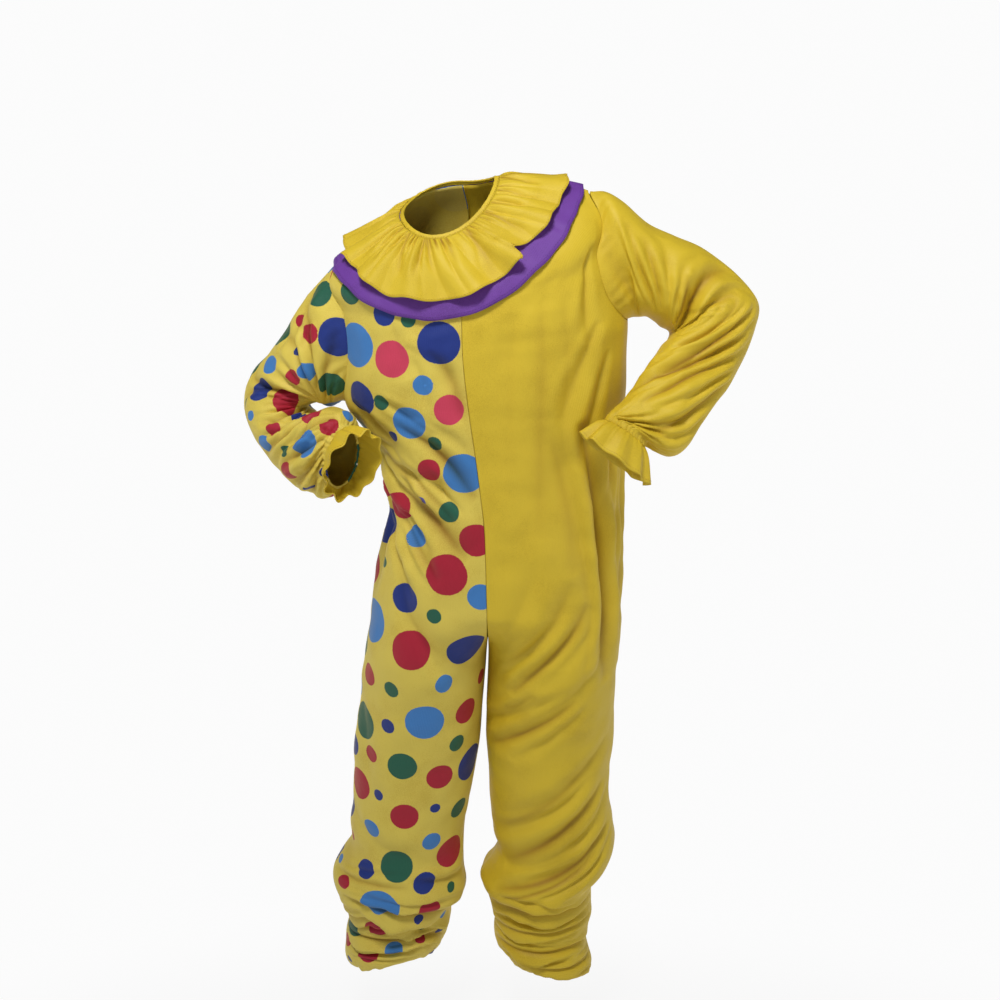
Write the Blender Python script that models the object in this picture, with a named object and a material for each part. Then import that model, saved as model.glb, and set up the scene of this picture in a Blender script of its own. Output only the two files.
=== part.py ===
"""Clown jumpsuit as worn: a hollow suit of two cloths with a gathered collar and cuffs.

Metres, +Z up, the front faces -Y, the origin is the middle of the neck edge.
Lengths in the tables are millimetres, angles are degrees.  "right" and "left" are
the wearer's: the right half lies towards -X.
"""
import math

import bpy
import numpy as np

MM = 0.001

# Cloth and seams, mm
CLOTH = 1.5
COLLAR_CLOTH = 1.2
BINDING_CLOTH = 3.0
SEAM_GAP = 0.3

# Levels measured down from the neck edge, mm
SHOULDER_TIP = 44.0
UNDERARM = 245.0
HIP = 620.0
CROTCH = 750.0
THIGH = 950.0
KNEE = 1110.0

# Shape rules of the body
TORSO_ROUND = 0.9        # exponent of the body sections: 1 is an ellipse, less is squarer
NECK_BLEND = 60.0        # the neck's rounder front and back give way to the body's by here
BACK_TURN = 0.8          # how far the centre back shifts against the centre front
ARMHOLE_HALF = 0.15      # half of the armhole's width, as a share of a half body's girth
HALF_GIRTH = 600.0       # cloth round one half of the body, or round one leg, mm
CROTCH_SPREAD = 0.8      # below 1 the leg turns forward sooner, next to the crotch
SEAM_CALM = 25.0         # folds die out this close to a centre or inner leg seam, mm

# Body sections: half is half the width, front and back the half depths, turn the sideways
# shift of the centre front, drops say how far the centre front and back hang below the middle
TORSO_COLUMNS = ("down", "x", "tilt", "half", "front", "back", "turn", "drop_front", "drop_back")
TORSO = (
    (0, 0, 20.0, 73, 76, 68, -22, 48, -6),
    (20, 9, 18.0, 129, 100, 90, -19, 62, 6),
    (44, 17, 15.7, 186, 113, 104, -6, 82, 24),
    (110, 30, 15.2, 202, 124, 115, -11, 52, 20),
    (180, 42, 15.9, 210, 129, 121, -22, 14, 6),
    (245, 51, 17.0, 216, 130, 122, -28, -8, -4),
    (303, 63, 11.6, 204, 130, 118, -33, -3, 0),
    (360, 76, 7.5, 192, 128, 112, -39, -6, 0),
    (418, 82, 4.2, 185, 127, 108, -38, -4, 0),
    (474, 85, 2.5, 183, 127, 109, -35, -2, 0),
    (526, 78, 0.5, 192, 128, 115, -26, 0, 0),
    (579, 73, 0.0, 198, 128, 121, -20, 0, 0),
    (635, 68, 0.0, 203, 128, 127, -14, 0, 0),
    (702, 63, 0.0, 208, 126, 130, -9, 0, 0),
    (755, 57, 0.0, 211, 120, 126, -4, 0, 0),
)

# Leg sections: outer and inner are the X of the two silhouettes, lift raises the inner side
# and rise the front
LEG_COLUMNS = ("down", "outer", "inner", "depth", "y", "lift", "rise")
RIGHT_LEG = (
    (620, -131, 52, 130, 0, 0, 0),
    (750, -153, 51, 114, 3, 0, 0),
    (825, -162, 45, 105, 6, 0, 0),
    (917, -175, 38, 97, 8, 0, 0),
    (1000, -181, 23, 93, 8, 0, 0),
    (1060, -188, 13, 90, 8, 0, 0),
    (1110, -191, 9, 88, 6, 0, 0),
    (1140, -211, 9, 95, 4, 0, 0),
    (1166, -224, 9, 100, 2, 2, 0),
    (1196, -214, 13, 98, 0, 4, 2),
    (1224, -203, 5, 90, 0, 6, 5),
    (1245, -196, -12, 80, 0, 8, 8),
    (1270, -202, -15, 84, 0, 10, 12),
    (1295, -207, -20, 86, -2, 12, 17),
    (1320, -208, -33, 82, -5, 14, 22),
    (1352, -200, -48, 68, -8, 17, 28),
)
LEFT_LEG = (
    (620, 272, 55, 130, 0, 0, 0),
    (750, 270, 54, 114, 3, 0, 0),
    (838, 267, 51, 105, 6, 0, 0),
    (900, 266, 50, 100, 8, 0, 0),
    (958, 264, 54, 97, 8, 0, 0),
    (1022, 265, 56, 94, 8, 0, 0),
    (1078, 273, 63, 92, 6, 0, 0),
    (1120, 276, 70, 93, 4, 0, 0),
    (1145, 266, 57, 98, 2, 0, 0),
    (1170, 243, 39, 98, 0, 0, 0),
    (1195, 235, 47, 92, 0, 0, 0),
    (1220, 235, 55, 84, 0, 2, 0),
    (1243, 237, 61, 86, 0, 4, 1),
    (1270, 232, 65, 80, 0, 6, 3),
    (1300, 230, 63, 82, -2, 7, 5),
    (1325, 236, 68, 80, -4, 8, 9),
    (1346, 241, 84, 74, -6, 9, 14),
    (1373, 236, 98, 64, -8, 11, 19),
)

# Sleeve sections: reach and aim are the length and the angle, from +X, of the line from the
# middle to the outer edge, lead is how far the sleeve turns towards the front
SLEEVE_COLUMNS = ("station", "x", "y", "z", "reach", "aim", "depth", "lead")
RIGHT_SLEEVE = (
    (1, -191, 4, -221, 89, 101, 64, -6),
    (2, -205, 15, -238, 80, 109, 67, -8),
    (3, -223, 28, -261, 68, 120, 68, -8),
    (4, -244, 38, -277, 57, 140, 66, -5),
    (5, -267, 40, -295, 56, 156, 64, -1),
    (6, -280, 33, -315, 51, 171, 63, 4),
    (7, -271, 18, -336, 54, 186, 62, 10),
    (8, -253, -3, -351, 57, 200, 62, 16),
    (9, -233, -25, -355, 64, 220, 60, 22),
    (10, -214, -49, -362, 67, 234, 58, 28),
    (11, -195, -70, -369, 70, 246, 55, 34),
    (12, -177, -88, -372, 70, 254, 50, 39),
    (13, -168, -99, -372, 62, 258, 42, 42),
    (14, -165, -107, -369, 50, 260, 32, 45),
    (15, -160, -112, -370, 48, 260, 31, 45),
)
LEFT_SLEEVE = (
    (1, 253, 0, -86, 94, 104, 60, 0),
    (2, 270, 0, -94, 85, 100, 67, 0),
    (3, 296, 0, -109, 69, 91, 68, 0),
    (4, 322, 0, -121, 66, 78, 66, 0),
    (5, 349, -2, -135, 66, 62, 64, 2),
    (6, 378, -5, -154, 65, 42, 62, 6),
    (7, 396, -12, -177, 69, 21, 60, 14),
    (8, 392, -22, -200, 65, 8, 60, 20),
    (9, 379, -36, -224, 63, -7, 58, 25),
    (10, 362, -52, -249, 62, -20, 56, 28),
    (11, 345, -68, -269, 59, -31, 54, 28),
    (12, 328, -84, -290, 57, -42, 50, 28),
    (13, 311, -98, -310, 59, -49, 45, 26),
    (14, 293, -108, -326, 55, -48, 40, 24),
    (15, 273, -114, -328, 45, -42, 33, 22),
    (16, 262, -117, -324, 36, -37, 28, 20),
    (17, 257, -120, -331, 35, -37, 27, 20),
)
# Cuff sections go on from the sleeve's last one
RIGHT_CUFF = (
    (1, -154, -124, -371, 53, 254, 38, 47),
    (2, -140, -142, -374, 55, 246, 47, 48),
)
LEFT_CUFF = (
    (1, 252, -127, -341, 46, -37, 33, 18),
    (2, 241, -138, -366, 62, -38, 43, 15),
)

# Folds: each runs from one place to another, bows sideways, and sinks (or rises, if negative).
# On the body a place is how far round it lies and its level; on a sleeve, how far round and
# its station.
RIGHT_FOLDS = (
    (0.07, 180, 0.01, 306, 8, 20, 4),
    (0.21, 301, 0.01, 432, 10, 24, 8),
    (0.33, 410, 0.04, 526, 8, 24, 7),
    (0.28, 541, 0.05, 740, -20, 26, 6),
    (0.45, 372, 0.30, 470, 0, 26, -7),
    (0.56, 330, 0.95, 430, 12, 26, 7),
    (0.58, 440, 0.92, 520, 10, 24, 7),
    (0.64, 640, 0.94, 760, -15, 28, 7),
    (0.40, 1176, 0.04, 1240, 8, 15, 9),
    (0.60, 1176, 0.96, 1236, 8, 15, 9),
    (0.34, 1168, 0.20, 1262, 0, 14, -6),
    (0.45, 1000, 0.12, 1100, 12, 24, 5),
    (0.58, 980, 0.90, 1110, -12, 24, 5),
)
LEFT_FOLDS = (
    (0.09, 150, 0.04, 310, 0, 18, 4),
    (0.15, 150, 0.08, 350, 0, 20, 4),
    (0.23, 330, 0.37, 760, -12, 22, 17),
    (0.10, 775, 0.22, 625, 8, 20, 8),
    (0.07, 720, 0.17, 590, 6, 18, 4),
    (0.27, 777, 0.04, 899, 10, 22, 6),
    (0.41, 957, 0.07, 1118, 14, 24, 7),
    (0.43, 1046, 0.10, 1162, 10, 20, 8),
    (0.56, 950, 0.93, 1110, 14, 24, 7),
    (0.58, 1050, 0.92, 1170, 10, 20, 7),
    (0.70, 300, 0.62, 600, 10, 26, 8),
    (0.90, 180, 0.84, 420, -8, 24, 6),
    (0.66, 650, 0.94, 770, -15, 28, 7),
    (0.46, 1196, 0.04, 1206, 4, 13, 6),
    (0.54, 1196, 0.96, 1206, -4, 13, 6),
)
SLEEVE_GIRTH = 400.0
STATION_LENGTH = 28.0
RIGHT_SLEEVE_FOLDS = (
    (0.04, 4.7, 0.47, 5.0, 0, 13, 9),
    (0.10, 3.2, 0.40, 2.2, 6, 16, 5),
    (0.40, 6.4, 0.12, 10.5, 8, 18, 5),
    (0.52, 6.0, 0.86, 4.6, 6, 16, 6),
    (0.60, 8.0, 0.90, 11.0, 8, 18, 5),
)
LEFT_SLEEVE_FOLDS = (
    (0.07, 6.9, 0.34, 6.0, 0, 14, 8),
    (0.10, 2.6, 0.36, 1.2, 4, 16, 5),
    (0.12, 4.6, 0.36, 3.4, 4, 14, 5),
    (0.42, 8.2, 0.16, 13.2, 8, 18, 7),
    (0.30, 8.0, 0.08, 11.6, 6, 16, 5),
    (0.92, 6.6, 0.66, 5.6, 0, 14, 7),
    (0.58, 8.4, 0.88, 13.0, 8, 18, 6),
)

# Counts of facets
PANEL_COLUMNS = 8
ARMHOLE_ROWS = 11
SLEEVE_ROWS = 24
CUFF_WAVES = 10
COLLAR_GATHERS = 40
COLLAR_WAVES = 14
UNDERLAYER_COLUMNS = 60
BINDING_SIDES = 40

# Collar, mm
RUFFLE_LENGTH = 96.0
UNDERLAYER_LENGTH = 122.0
BINDING_HEIGHT = 7.0

# Collar layers, from the neck to the free edge: share of the length, height over the body,
# height of the small gathers, height of the broad waves
RUFFLE = (
    (0.00, 3.4, 0.1, 0.0),
    (0.25, 8.5, 2.4, 0.6),
    (0.60, 11.0, 1.0, 2.0),
    (1.00, 13.5, 0.4, 3.2),
)
UNDERLAYER = (
    (0.00, 1.8, 0.0, 0.0),
    (0.25, 3.4, 0.0, 0.2),
    (0.50, 4.4, 0.0, 0.5),
    (0.75, 5.2, 0.0, 0.9),
    (1.00, 6.0, 0.0, 1.4),
)

COLOURS = {
    "spotted_cloth": (0.58, 0.42, 0.05),
    "plain_cloth": (0.62, 0.45, 0.04),
    "purple_cloth": (0.16, 0.05, 0.27),
}


def smooth_rows(names, rows, at):
    """Read every column of a table between its rows with a smooth cubic curve."""
    table = np.array(rows, float)
    place = table[:, 0]
    slope = np.gradient(table, place, axis=0)
    at = np.atleast_1d(np.asarray(at, float))
    low = np.clip(np.searchsorted(place, at, side="right") - 1, 0, len(place) - 2)
    step = (place[low + 1] - place[low])[:, None]
    t = (at[:, None] - place[low][:, None]) / step
    value = ((2 * t**3 - 3 * t**2 + 1) * table[low] + (t**3 - 2 * t**2 + t) * step * slope[low]
             + (3 * t**2 - 2 * t**3) * table[low + 1] + (t**3 - t**2) * step * slope[low + 1])
    return {name: value[:, i] for i, name in enumerate(names)}


def fade(value, start, end):
    """0 before start, 1 after end, smooth between."""
    t = np.clip((value - start) / (end - start), 0, 1)
    return t * t * (3 - 2 * t)


def unit(vectors):
    return vectors / np.linalg.norm(vectors, axis=-1, keepdims=True)


def torso_points(side, down, around):
    """around is 0 at the centre front, 0.5 at the side and 1 at the centre back."""
    row = {name: value.reshape(down.shape) for name, value in
           smooth_rows(TORSO_COLUMNS, TORSO, down.ravel()).items()}
    lean = np.tan(np.radians(row["tilt"]))
    front = around <= 0.5
    shift = np.where(front, row["turn"], -BACK_TURN * row["turn"])
    face_y = np.where(front, -row["front"], row["back"])
    face_z = shift * lean - down - np.where(front, row["drop_front"], row["drop_back"])
    edge_x = row["x"] + side * row["half"]
    edge_z = side * row["half"] * lean - down
    sine = np.sin(math.pi * around)
    to_edge = np.sign(sine) * np.abs(sine) ** TORSO_ROUND
    to_face = np.abs(np.cos(math.pi * around)) ** TORSO_ROUND
    middle_x = row["x"] + shift
    middle_z = (edge_z + face_z) / 2
    x = middle_x + (edge_x - middle_x) * to_edge
    rise = to_edge * np.abs(to_edge) ** (1 - fade(down, 0, NECK_BLEND))
    z = middle_z + (edge_z - middle_z) * rise + (face_z - middle_z) * to_face
    return np.stack([x, face_y * to_face, z], axis=-1)


def leg_points(side, down, around):
    """A leg's section: around is 0 on the inner side and 0.5 on the outer side."""
    rows = RIGHT_LEG if side < 0 else LEFT_LEG
    row = {name: value.reshape(down.shape) for name, value in
           smooth_rows(LEG_COLUMNS, rows, down.ravel()).items()}
    spread = CROTCH_SPREAD + (1 - CROTCH_SPREAD) * fade(down, CROTCH, THIGH)
    half_round = 1 - np.abs(1 - 2 * around)
    turned = np.sign(half_round) * np.abs(half_round) ** spread / 2
    turn = 2 * math.pi * np.where(around <= 0.5, turned, 1 - turned)
    middle = (row["outer"] + row["inner"]) / 2
    half = (row["inner"] - row["outer"]) / 2
    x = middle + half * np.cos(turn)
    y = row["y"] - row["depth"] * np.sin(turn)
    z = row["lift"] * np.cos(turn) + row["rise"] * np.sin(turn) - down
    return np.stack([x, y, z], axis=-1)


def body_base(side, down, around):
    """The body without its folds: the torso's sections run smoothly into the leg's."""
    share = fade(down, HIP, CROTCH)[..., None]
    torso = torso_points(side, np.minimum(down, CROTCH), around)
    leg = leg_points(side, np.maximum(down, HIP), around)
    return (1 - share) * torso + share * leg


def fold_height(across, along, folds):
    """How far the cloth stands out, from folds in millimetres across and along it."""
    height = np.zeros(np.broadcast(across, along).shape)
    for across_0, along_0, across_1, along_1, bow, width, sink in folds:
        run_x, run_y = across_1 - across_0, along_1 - along_0
        length = math.hypot(run_x, run_y)
        share = ((across - across_0) * run_x + (along - along_0) * run_y) / length**2
        away = ((along - along_0) * run_x - (across - across_0) * run_y) / length
        inside = np.clip(share, 0, 1)
        aside = (away - bow * 4 * inside * (1 - inside)) / width
        height -= sink * np.sqrt(np.sin(math.pi * inside)) * np.exp(-aside * aside)
    return height


def scaled_folds(folds, across_scale, along_scale):
    return [(f[0] * across_scale, f[1] * along_scale, f[2] * across_scale, f[3] * along_scale,
             *f[4:]) for f in folds]


def surface_slopes(surface, side, down, around):
    """Outward unit normals of a body surface, from points a little to each side."""
    step = 0.004
    along = surface(side, down + HALF_GIRTH * step, around)
    along = along - surface(side, down - HALF_GIRTH * step, around)
    across = surface(side, down, around + step) - surface(side, down, around - step)
    return side * unit(np.cross(along, across))


def body_points(side, down, around):
    """The body with its folds, which die out at the centre and inner leg seams."""
    folds = scaled_folds(RIGHT_FOLDS if side < 0 else LEFT_FOLDS, HALF_GIRTH, 1)
    height = fold_height(around * HALF_GIRTH, down, folds)
    from_seam = HALF_GIRTH * np.minimum(np.abs(around), np.abs(1 - around))
    height = height * fade(from_seam, 0, SEAM_CALM)
    normals = surface_slopes(body_base, side, down, around)
    return body_base(side, down, around) + normals * height[..., None]


def armhole_half(down):
    """Half of the armhole's width at a level, as a share of the half girth."""
    t = np.clip((down - SHOULDER_TIP) / (UNDERARM - SHOULDER_TIP), 0, 1)
    return ARMHOLE_HALF * 2 * np.sqrt(t * (1 - t))


def hem_level(side):
    return (RIGHT_LEG if side < 0 else LEFT_LEG)[-1][0]


def body_levels(side):
    """Rows of a panel, closer together at the armhole and in the gathered lower leg."""
    turn = math.pi * np.arange(ARMHOLE_ROWS + 1) / ARMHOLE_ROWS
    armhole = SHOULDER_TIP + (UNDERARM - SHOULDER_TIP) * (1 - np.cos(turn)) / 2
    return np.concatenate([
        np.linspace(0, SHOULDER_TIP, 6)[:-1], armhole,
        np.linspace(UNDERARM, HIP, 11)[1:], np.linspace(HIP, CROTCH, 5)[1:],
        np.linspace(CROTCH, KNEE, 8)[1:], np.linspace(KNEE, hem_level(side), 12)[1:]])


def surface_normals(points, wrap):
    """Unit normals of a grid of points; a wrapped grid closes on itself across its columns."""
    if wrap:
        wide = np.concatenate([points[:, -1:], points, points[:, :1]], axis=1)
        across = np.gradient(wide, axis=1)[:, 1:-1]
    else:
        across = np.gradient(points, axis=1)
    return unit(np.cross(np.gradient(points, axis=0), across))


def outward(normals, points, inside):
    """Turn the normals to point away from the inside points."""
    agree = np.sum(normals * (points - inside))
    return normals if agree > 0 else -normals


def add_wall(name, points, normals, thickness, wrap, material):
    """Close a grid of points into a wall of cloth, half its thickness to each side."""
    rows, columns = points.shape[:2]
    outer = (points + normals * thickness / 2).reshape(-1, 3)
    inner = (points - normals * thickness / 2).reshape(-1, 3)
    count = rows * columns
    faces = []

    def cell(a, b, c, d):
        faces.append((a, b, c))
        faces.append((a, c, d))

    last = columns if wrap else columns - 1
    for i in range(rows - 1):
        for j in range(last):
            k = (j + 1) % columns
            a, b = i * columns + j, i * columns + k
            c, d = (i + 1) * columns + k, (i + 1) * columns + j
            cell(a, b, c, d)
            cell(count + a, count + d, count + c, count + b)
    for j in range(last):
        k = (j + 1) % columns
        top_a, top_b = j, k
        low_a, low_b = (rows - 1) * columns + j, (rows - 1) * columns + k
        cell(top_b, top_a, count + top_a, count + top_b)
        cell(low_a, low_b, count + low_b, count + low_a)
    if not wrap:
        for i in range(rows - 1):
            a, d = i * columns, (i + 1) * columns
            cell(a, d, count + d, count + a)
            b, c = a + columns - 1, d + columns - 1
            cell(c, b, count + b, count + c)
    vertices = np.concatenate([outer, inner]) * MM
    corners = vertices[np.array(faces)]
    volume = np.sum(corners[:, 0] * np.cross(corners[:, 1], corners[:, 2])) / 6
    if volume < 0:
        faces = [face[::-1] for face in faces]
    mesh = bpy.data.meshes.new(name)
    mesh.from_pydata(vertices.tolist(), [], faces)
    mesh.materials.append(material)
    mesh.shade_smooth()
    piece = bpy.data.objects.new(name, mesh)
    bpy.context.scene.collection.objects.link(piece)
    return piece


def add_panel(name, side, front, material):
    """A front or back, body and leg in one, from its centre seam to the side seam."""
    down = body_levels(side)
    share = np.arange(PANEL_COLUMNS + 1) / PANEL_COLUMNS
    around = share[None, :] * (0.5 - armhole_half(down))[:, None]
    if not front:
        around = 1 - around
    level = np.broadcast_to(down[:, None], around.shape)
    seam = np.array([side * SEAM_GAP / 2, -SEAM_GAP / 2 if front else SEAM_GAP / 2, 0])
    points = body_points(side, level, around) + seam
    add_wall(name, points, surface_slopes(body_points, side, level, around), CLOTH, False,
             material)


def armhole_loop(side):
    """The sleeve's first ring: from the underarm up the front edge and down the back edge."""
    clear = SEAM_GAP + CLOTH / 2 + 0.9
    turn = math.pi * np.arange(2 * ARMHOLE_ROWS) / ARMHOLE_ROWS
    middle = (SHOULDER_TIP + UNDERARM) / 2
    half = (UNDERARM - SHOULDER_TIP) / 2 - clear
    down = middle + half * np.cos(turn)
    around = 0.5 - (ARMHOLE_HALF - clear / HALF_GIRTH) * np.sin(turn)
    return body_points(side, down[None, :], around[None, :])[0]


def section_rings(side, names, rows, at, columns):
    """Rings of a sleeve or cuff from its section table, first the inner edge, then the front."""
    row = smooth_rows(names, rows, at)
    aim = np.radians(row["aim"])
    lead = np.radians(row["lead"])
    zero = np.zeros_like(aim)
    reach = np.stack([np.cos(aim), zero, np.sin(aim)], axis=-1)
    forward = np.stack([side * np.sin(aim), zero, -side * np.cos(aim)], axis=-1)
    back = np.cos(lead)[:, None] * np.array([0, 1, 0]) + np.sin(lead)[:, None] * forward
    turn = 2 * math.pi * np.arange(columns) / columns
    middle = np.stack([row["x"], row["y"], row["z"]], axis=-1)
    wide = (reach * row["reach"][:, None])[:, None, :] * -np.cos(turn)[None, :, None]
    deep = (back * row["depth"][:, None])[:, None, :] * -np.sin(turn)[None, :, None]
    return middle[:, None, :] + wide + deep, middle[:, None, :]


def smooth_through(keys, at):
    """Rings between the key rings, each column on its own smooth curve."""
    flat = keys.reshape(len(keys), -1)
    rows = np.column_stack([np.arange(len(keys)), flat])
    names = tuple(range(rows.shape[1]))
    table = smooth_rows(names, rows, at)
    return np.stack([table[name] for name in names[1:]], axis=-1).reshape(len(at), *keys.shape[1:])


def wrist_axis(side, sleeve_rows):
    """The direction in which a sleeve leaves its last section."""
    aim, lead = (math.radians(sleeve_rows[-1][i]) for i in (5, 7))
    return np.array([side * math.sin(aim) * math.cos(lead), -math.sin(lead),
                     -side * math.cos(aim) * math.cos(lead)])


def squared(normals, axis):
    """Normals turned square to an axis, so that a wall's edge lies in one plane."""
    return unit(normals - (normals @ axis)[..., None] * axis)


def add_sleeve(name, side, rows, folds, material):
    columns = 2 * ARMHOLE_ROWS
    stations = np.array([row[0] for row in rows], float)
    rings, middles = section_rings(side, SLEEVE_COLUMNS, rows, stations, columns)
    loop = armhole_loop(side)
    keys = np.concatenate([loop[None], rings])
    key_middles = np.concatenate([loop.mean(axis=0)[None, None], middles])
    at = np.linspace(0, len(keys) - 1, 4 * SLEEVE_ROWS + 1)
    points = smooth_through(keys, at)
    inside = smooth_through(key_middles, at)
    normals = outward(surface_normals(points, True), points, inside)
    across = SLEEVE_GIRTH * np.arange(columns)[None, :] / columns
    folds = scaled_folds(folds, SLEEVE_GIRTH, STATION_LENGTH)
    height = fold_height(across, STATION_LENGTH * at[:, None], folds)
    points = points + normals * height[..., None]
    normals = outward(surface_normals(points, True), points, inside)
    normals[-1] = squared(normals[-1], wrist_axis(side, rows))
    add_wall(name, points[::4], normals[::4], CLOTH, True, material)


def add_cuff(name, side, sleeve_rows, rows, material):
    """A ruffle that flares below the wrist gather, its waves growing to the free edge."""
    axis = wrist_axis(side, sleeve_rows)
    seat = sleeve_rows[-1]
    first = (0, *(np.array(seat[1:4]) + axis * SEAM_GAP), *seat[4:])
    columns = CUFF_WAVES * 4
    at = np.linspace(0, 2, 4)
    points, inside = section_rings(side, SLEEVE_COLUMNS, (first, *rows), at, columns)
    normals = outward(surface_normals(points, True), points, inside)
    normals[0] = squared(normals[0], axis)
    wave = np.cos(2 * math.pi * CUFF_WAVES * np.arange(columns) / columns)
    height = 0.8 + 2.2 * at / 2
    points = points + normals * (height[:, None] * wave[None, :])[..., None]
    add_wall(name, points, normals, COLLAR_CLOTH, True, material)


def collar_base(columns, lengths):
    """Points and normals of the body at given cloth lengths from the neck edge."""
    turn = np.arange(columns) / columns
    side = np.where(turn < 0.5, 1, -1)
    around = np.where(turn < 0.5, 2 * turn, 2 * (1 - turn))
    down = np.linspace(0, 150, 76)
    level, place = np.meshgrid(down, around, indexing="ij")
    points = torso_points(side[None, :], level, place)
    inside = points.mean(axis=1, keepdims=True) - np.array([0, 0, 60])
    normals = outward(surface_normals(points, True), points, inside)
    run = np.linalg.norm(np.diff(points, axis=0), axis=-1)
    run = np.concatenate([np.zeros((1, columns)), np.cumsum(run, axis=0)])
    out_points = np.empty((len(lengths), columns, 3))
    out_normals = np.empty_like(out_points)
    for j in range(columns):
        for k in range(3):
            out_points[:, j, k] = np.interp(lengths, run[:, j], points[:, j, k])
            out_normals[:, j, k] = np.interp(lengths, run[:, j], normals[:, j, k])
    return out_points, unit(out_normals)


def add_collar_layer(name, length, columns, rows, material):
    """A collar layer made from the body's own points, moved out.

    Small gathers at the neck fade into a few broad waves, uneven in size, at the free edge.
    """
    share, lift, gather, wave = (np.array(column, float) for column in zip(*rows))
    base, normals = collar_base(columns, length * share)
    turn = 2 * math.pi * np.arange(columns) / columns
    gathers = np.cos(COLLAR_GATHERS * turn)
    uneven = 1 + 0.35 * np.sin(3 * turn + 0.8)
    waves = uneven * np.sin(COLLAR_WAVES * turn + 0.9 * np.sin(2 * turn))
    out = lift[:, None] + gather[:, None] * gathers + wave[:, None] * waves
    points = base + normals * out[..., None]
    add_wall(name, points, outward(surface_normals(points, True), points, base - 5 * normals),
             COLLAR_CLOTH, True, material)


def add_binding(material):
    """A narrow folded band that stands on the neck edge."""
    base, normals = collar_base(BINDING_SIDES, np.array([0.0, 4.0]))
    rise = unit(base[0] - base[1])
    seat = base[0] + normals[0] * BINDING_CLOTH / 2
    points = np.stack([seat + rise * (SEAM_GAP + 0.2), seat + rise * (SEAM_GAP + BINDING_HEIGHT)])
    add_wall("neck_binding", points, np.stack([normals[0], normals[0]]), BINDING_CLOTH, True, material)


def cloth_material(name):
    material = bpy.data.materials.new(name)
    material.use_nodes = True
    shader = material.node_tree.nodes["Principled BSDF"]
    shader.inputs["Base Color"].default_value = (*COLOURS[name], 1)
    shader.inputs["Roughness"].default_value = 0.7
    shader.inputs["Metallic"].default_value = 0.0
    return material


def build_jumpsuit():
    for item in list(bpy.data.objects):
        bpy.data.objects.remove(item, do_unlink=True)
    spotted = cloth_material("spotted_cloth")
    plain = cloth_material("plain_cloth")
    purple = cloth_material("purple_cloth")
    add_panel("front_right", -1, True, spotted)
    add_panel("front_left", 1, True, plain)
    add_panel("back_right", -1, False, spotted)
    add_panel("back_left", 1, False, plain)
    add_sleeve("sleeve_right", -1, RIGHT_SLEEVE, RIGHT_SLEEVE_FOLDS, spotted)
    add_sleeve("sleeve_left", 1, LEFT_SLEEVE, LEFT_SLEEVE_FOLDS, plain)
    add_cuff("cuff_ruffle_right", -1, RIGHT_SLEEVE, RIGHT_CUFF, plain)
    add_cuff("cuff_ruffle_left", 1, LEFT_SLEEVE, LEFT_CUFF, plain)
    add_collar_layer("collar_underlayer", UNDERLAYER_LENGTH, UNDERLAYER_COLUMNS, UNDERLAYER, purple)
    add_collar_layer("collar_ruffle", RUFFLE_LENGTH, 4 * COLLAR_GATHERS, RUFFLE, plain)
    add_binding(plain)


build_jumpsuit()
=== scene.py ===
import math
import time

import bpy
import numpy as np
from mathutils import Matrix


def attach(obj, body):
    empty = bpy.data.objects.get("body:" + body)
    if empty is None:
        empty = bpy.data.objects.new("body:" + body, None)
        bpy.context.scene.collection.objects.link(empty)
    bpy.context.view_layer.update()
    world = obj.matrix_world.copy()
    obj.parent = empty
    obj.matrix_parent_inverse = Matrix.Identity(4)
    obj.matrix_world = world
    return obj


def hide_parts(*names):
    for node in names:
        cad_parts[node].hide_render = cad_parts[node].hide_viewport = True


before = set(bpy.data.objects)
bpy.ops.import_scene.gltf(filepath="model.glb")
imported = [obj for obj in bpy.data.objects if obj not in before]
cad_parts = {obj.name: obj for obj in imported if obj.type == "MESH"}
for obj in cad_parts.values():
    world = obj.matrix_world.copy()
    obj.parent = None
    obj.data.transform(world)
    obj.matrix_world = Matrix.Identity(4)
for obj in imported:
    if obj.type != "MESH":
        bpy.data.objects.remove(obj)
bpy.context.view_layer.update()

# Lengths are millimetres and angles degrees unless a name says otherwise. The origin is the
# middle of the neck edge, +Z is up and the front faces -Y. Right and left are the wearer's:
# the right half is the spotted one and lies towards -X.

startTime = time.time()
mm = 0.001

seamGap = 0.3
clothThickness = 1.1
collarThickness = 0.9
rollFromEdge = 1.6
panelStep = 3.7
columnStep = 3.9
shoulderTip = 44.0
underarm = 245.0
hip = 620.0
crotch = 750.0
thigh = 950.0
torsoRound = 0.9
neckBlend = 60.0
backTurn = 0.8
armholeHalf = 0.15
armholeClear = 0.7
halfGirth = 600.0
crotchSpread = 0.8
sleeveGirth = 400.0
stationLength = 28.0


def report(stage):
    print(f"{stage}: {time.time() - startTime:.1f} s")


def smoothRows(table, at):
    rows = np.array(table["rows"], float)
    place = rows[:, 0]
    slope = np.gradient(rows, place, axis=0)
    at = np.asarray(at, float)
    low = np.clip(np.searchsorted(place, at, side="right") - 1, 0, len(place) - 2)
    step = (place[low + 1] - place[low])[..., None]
    t = (at - place[low])[..., None] / step
    value = ((2 * t**3 - 3 * t**2 + 1) * rows[low] + (t**3 - 2 * t**2 + t) * step * slope[low]
             + (3 * t**2 - 2 * t**3) * rows[low + 1] + (t**3 - t**2) * step * slope[low + 1])
    return {name: value[..., i] for i, name in enumerate(table["columns"])}


def fade(value, start, end):
    t = np.clip((value - start) / (end - start), 0, 1)
    return t * t * (3 - 2 * t)


def unit(vectors):
    return vectors / np.maximum(np.linalg.norm(vectors, axis=-1, keepdims=True), 1e-12)


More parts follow.
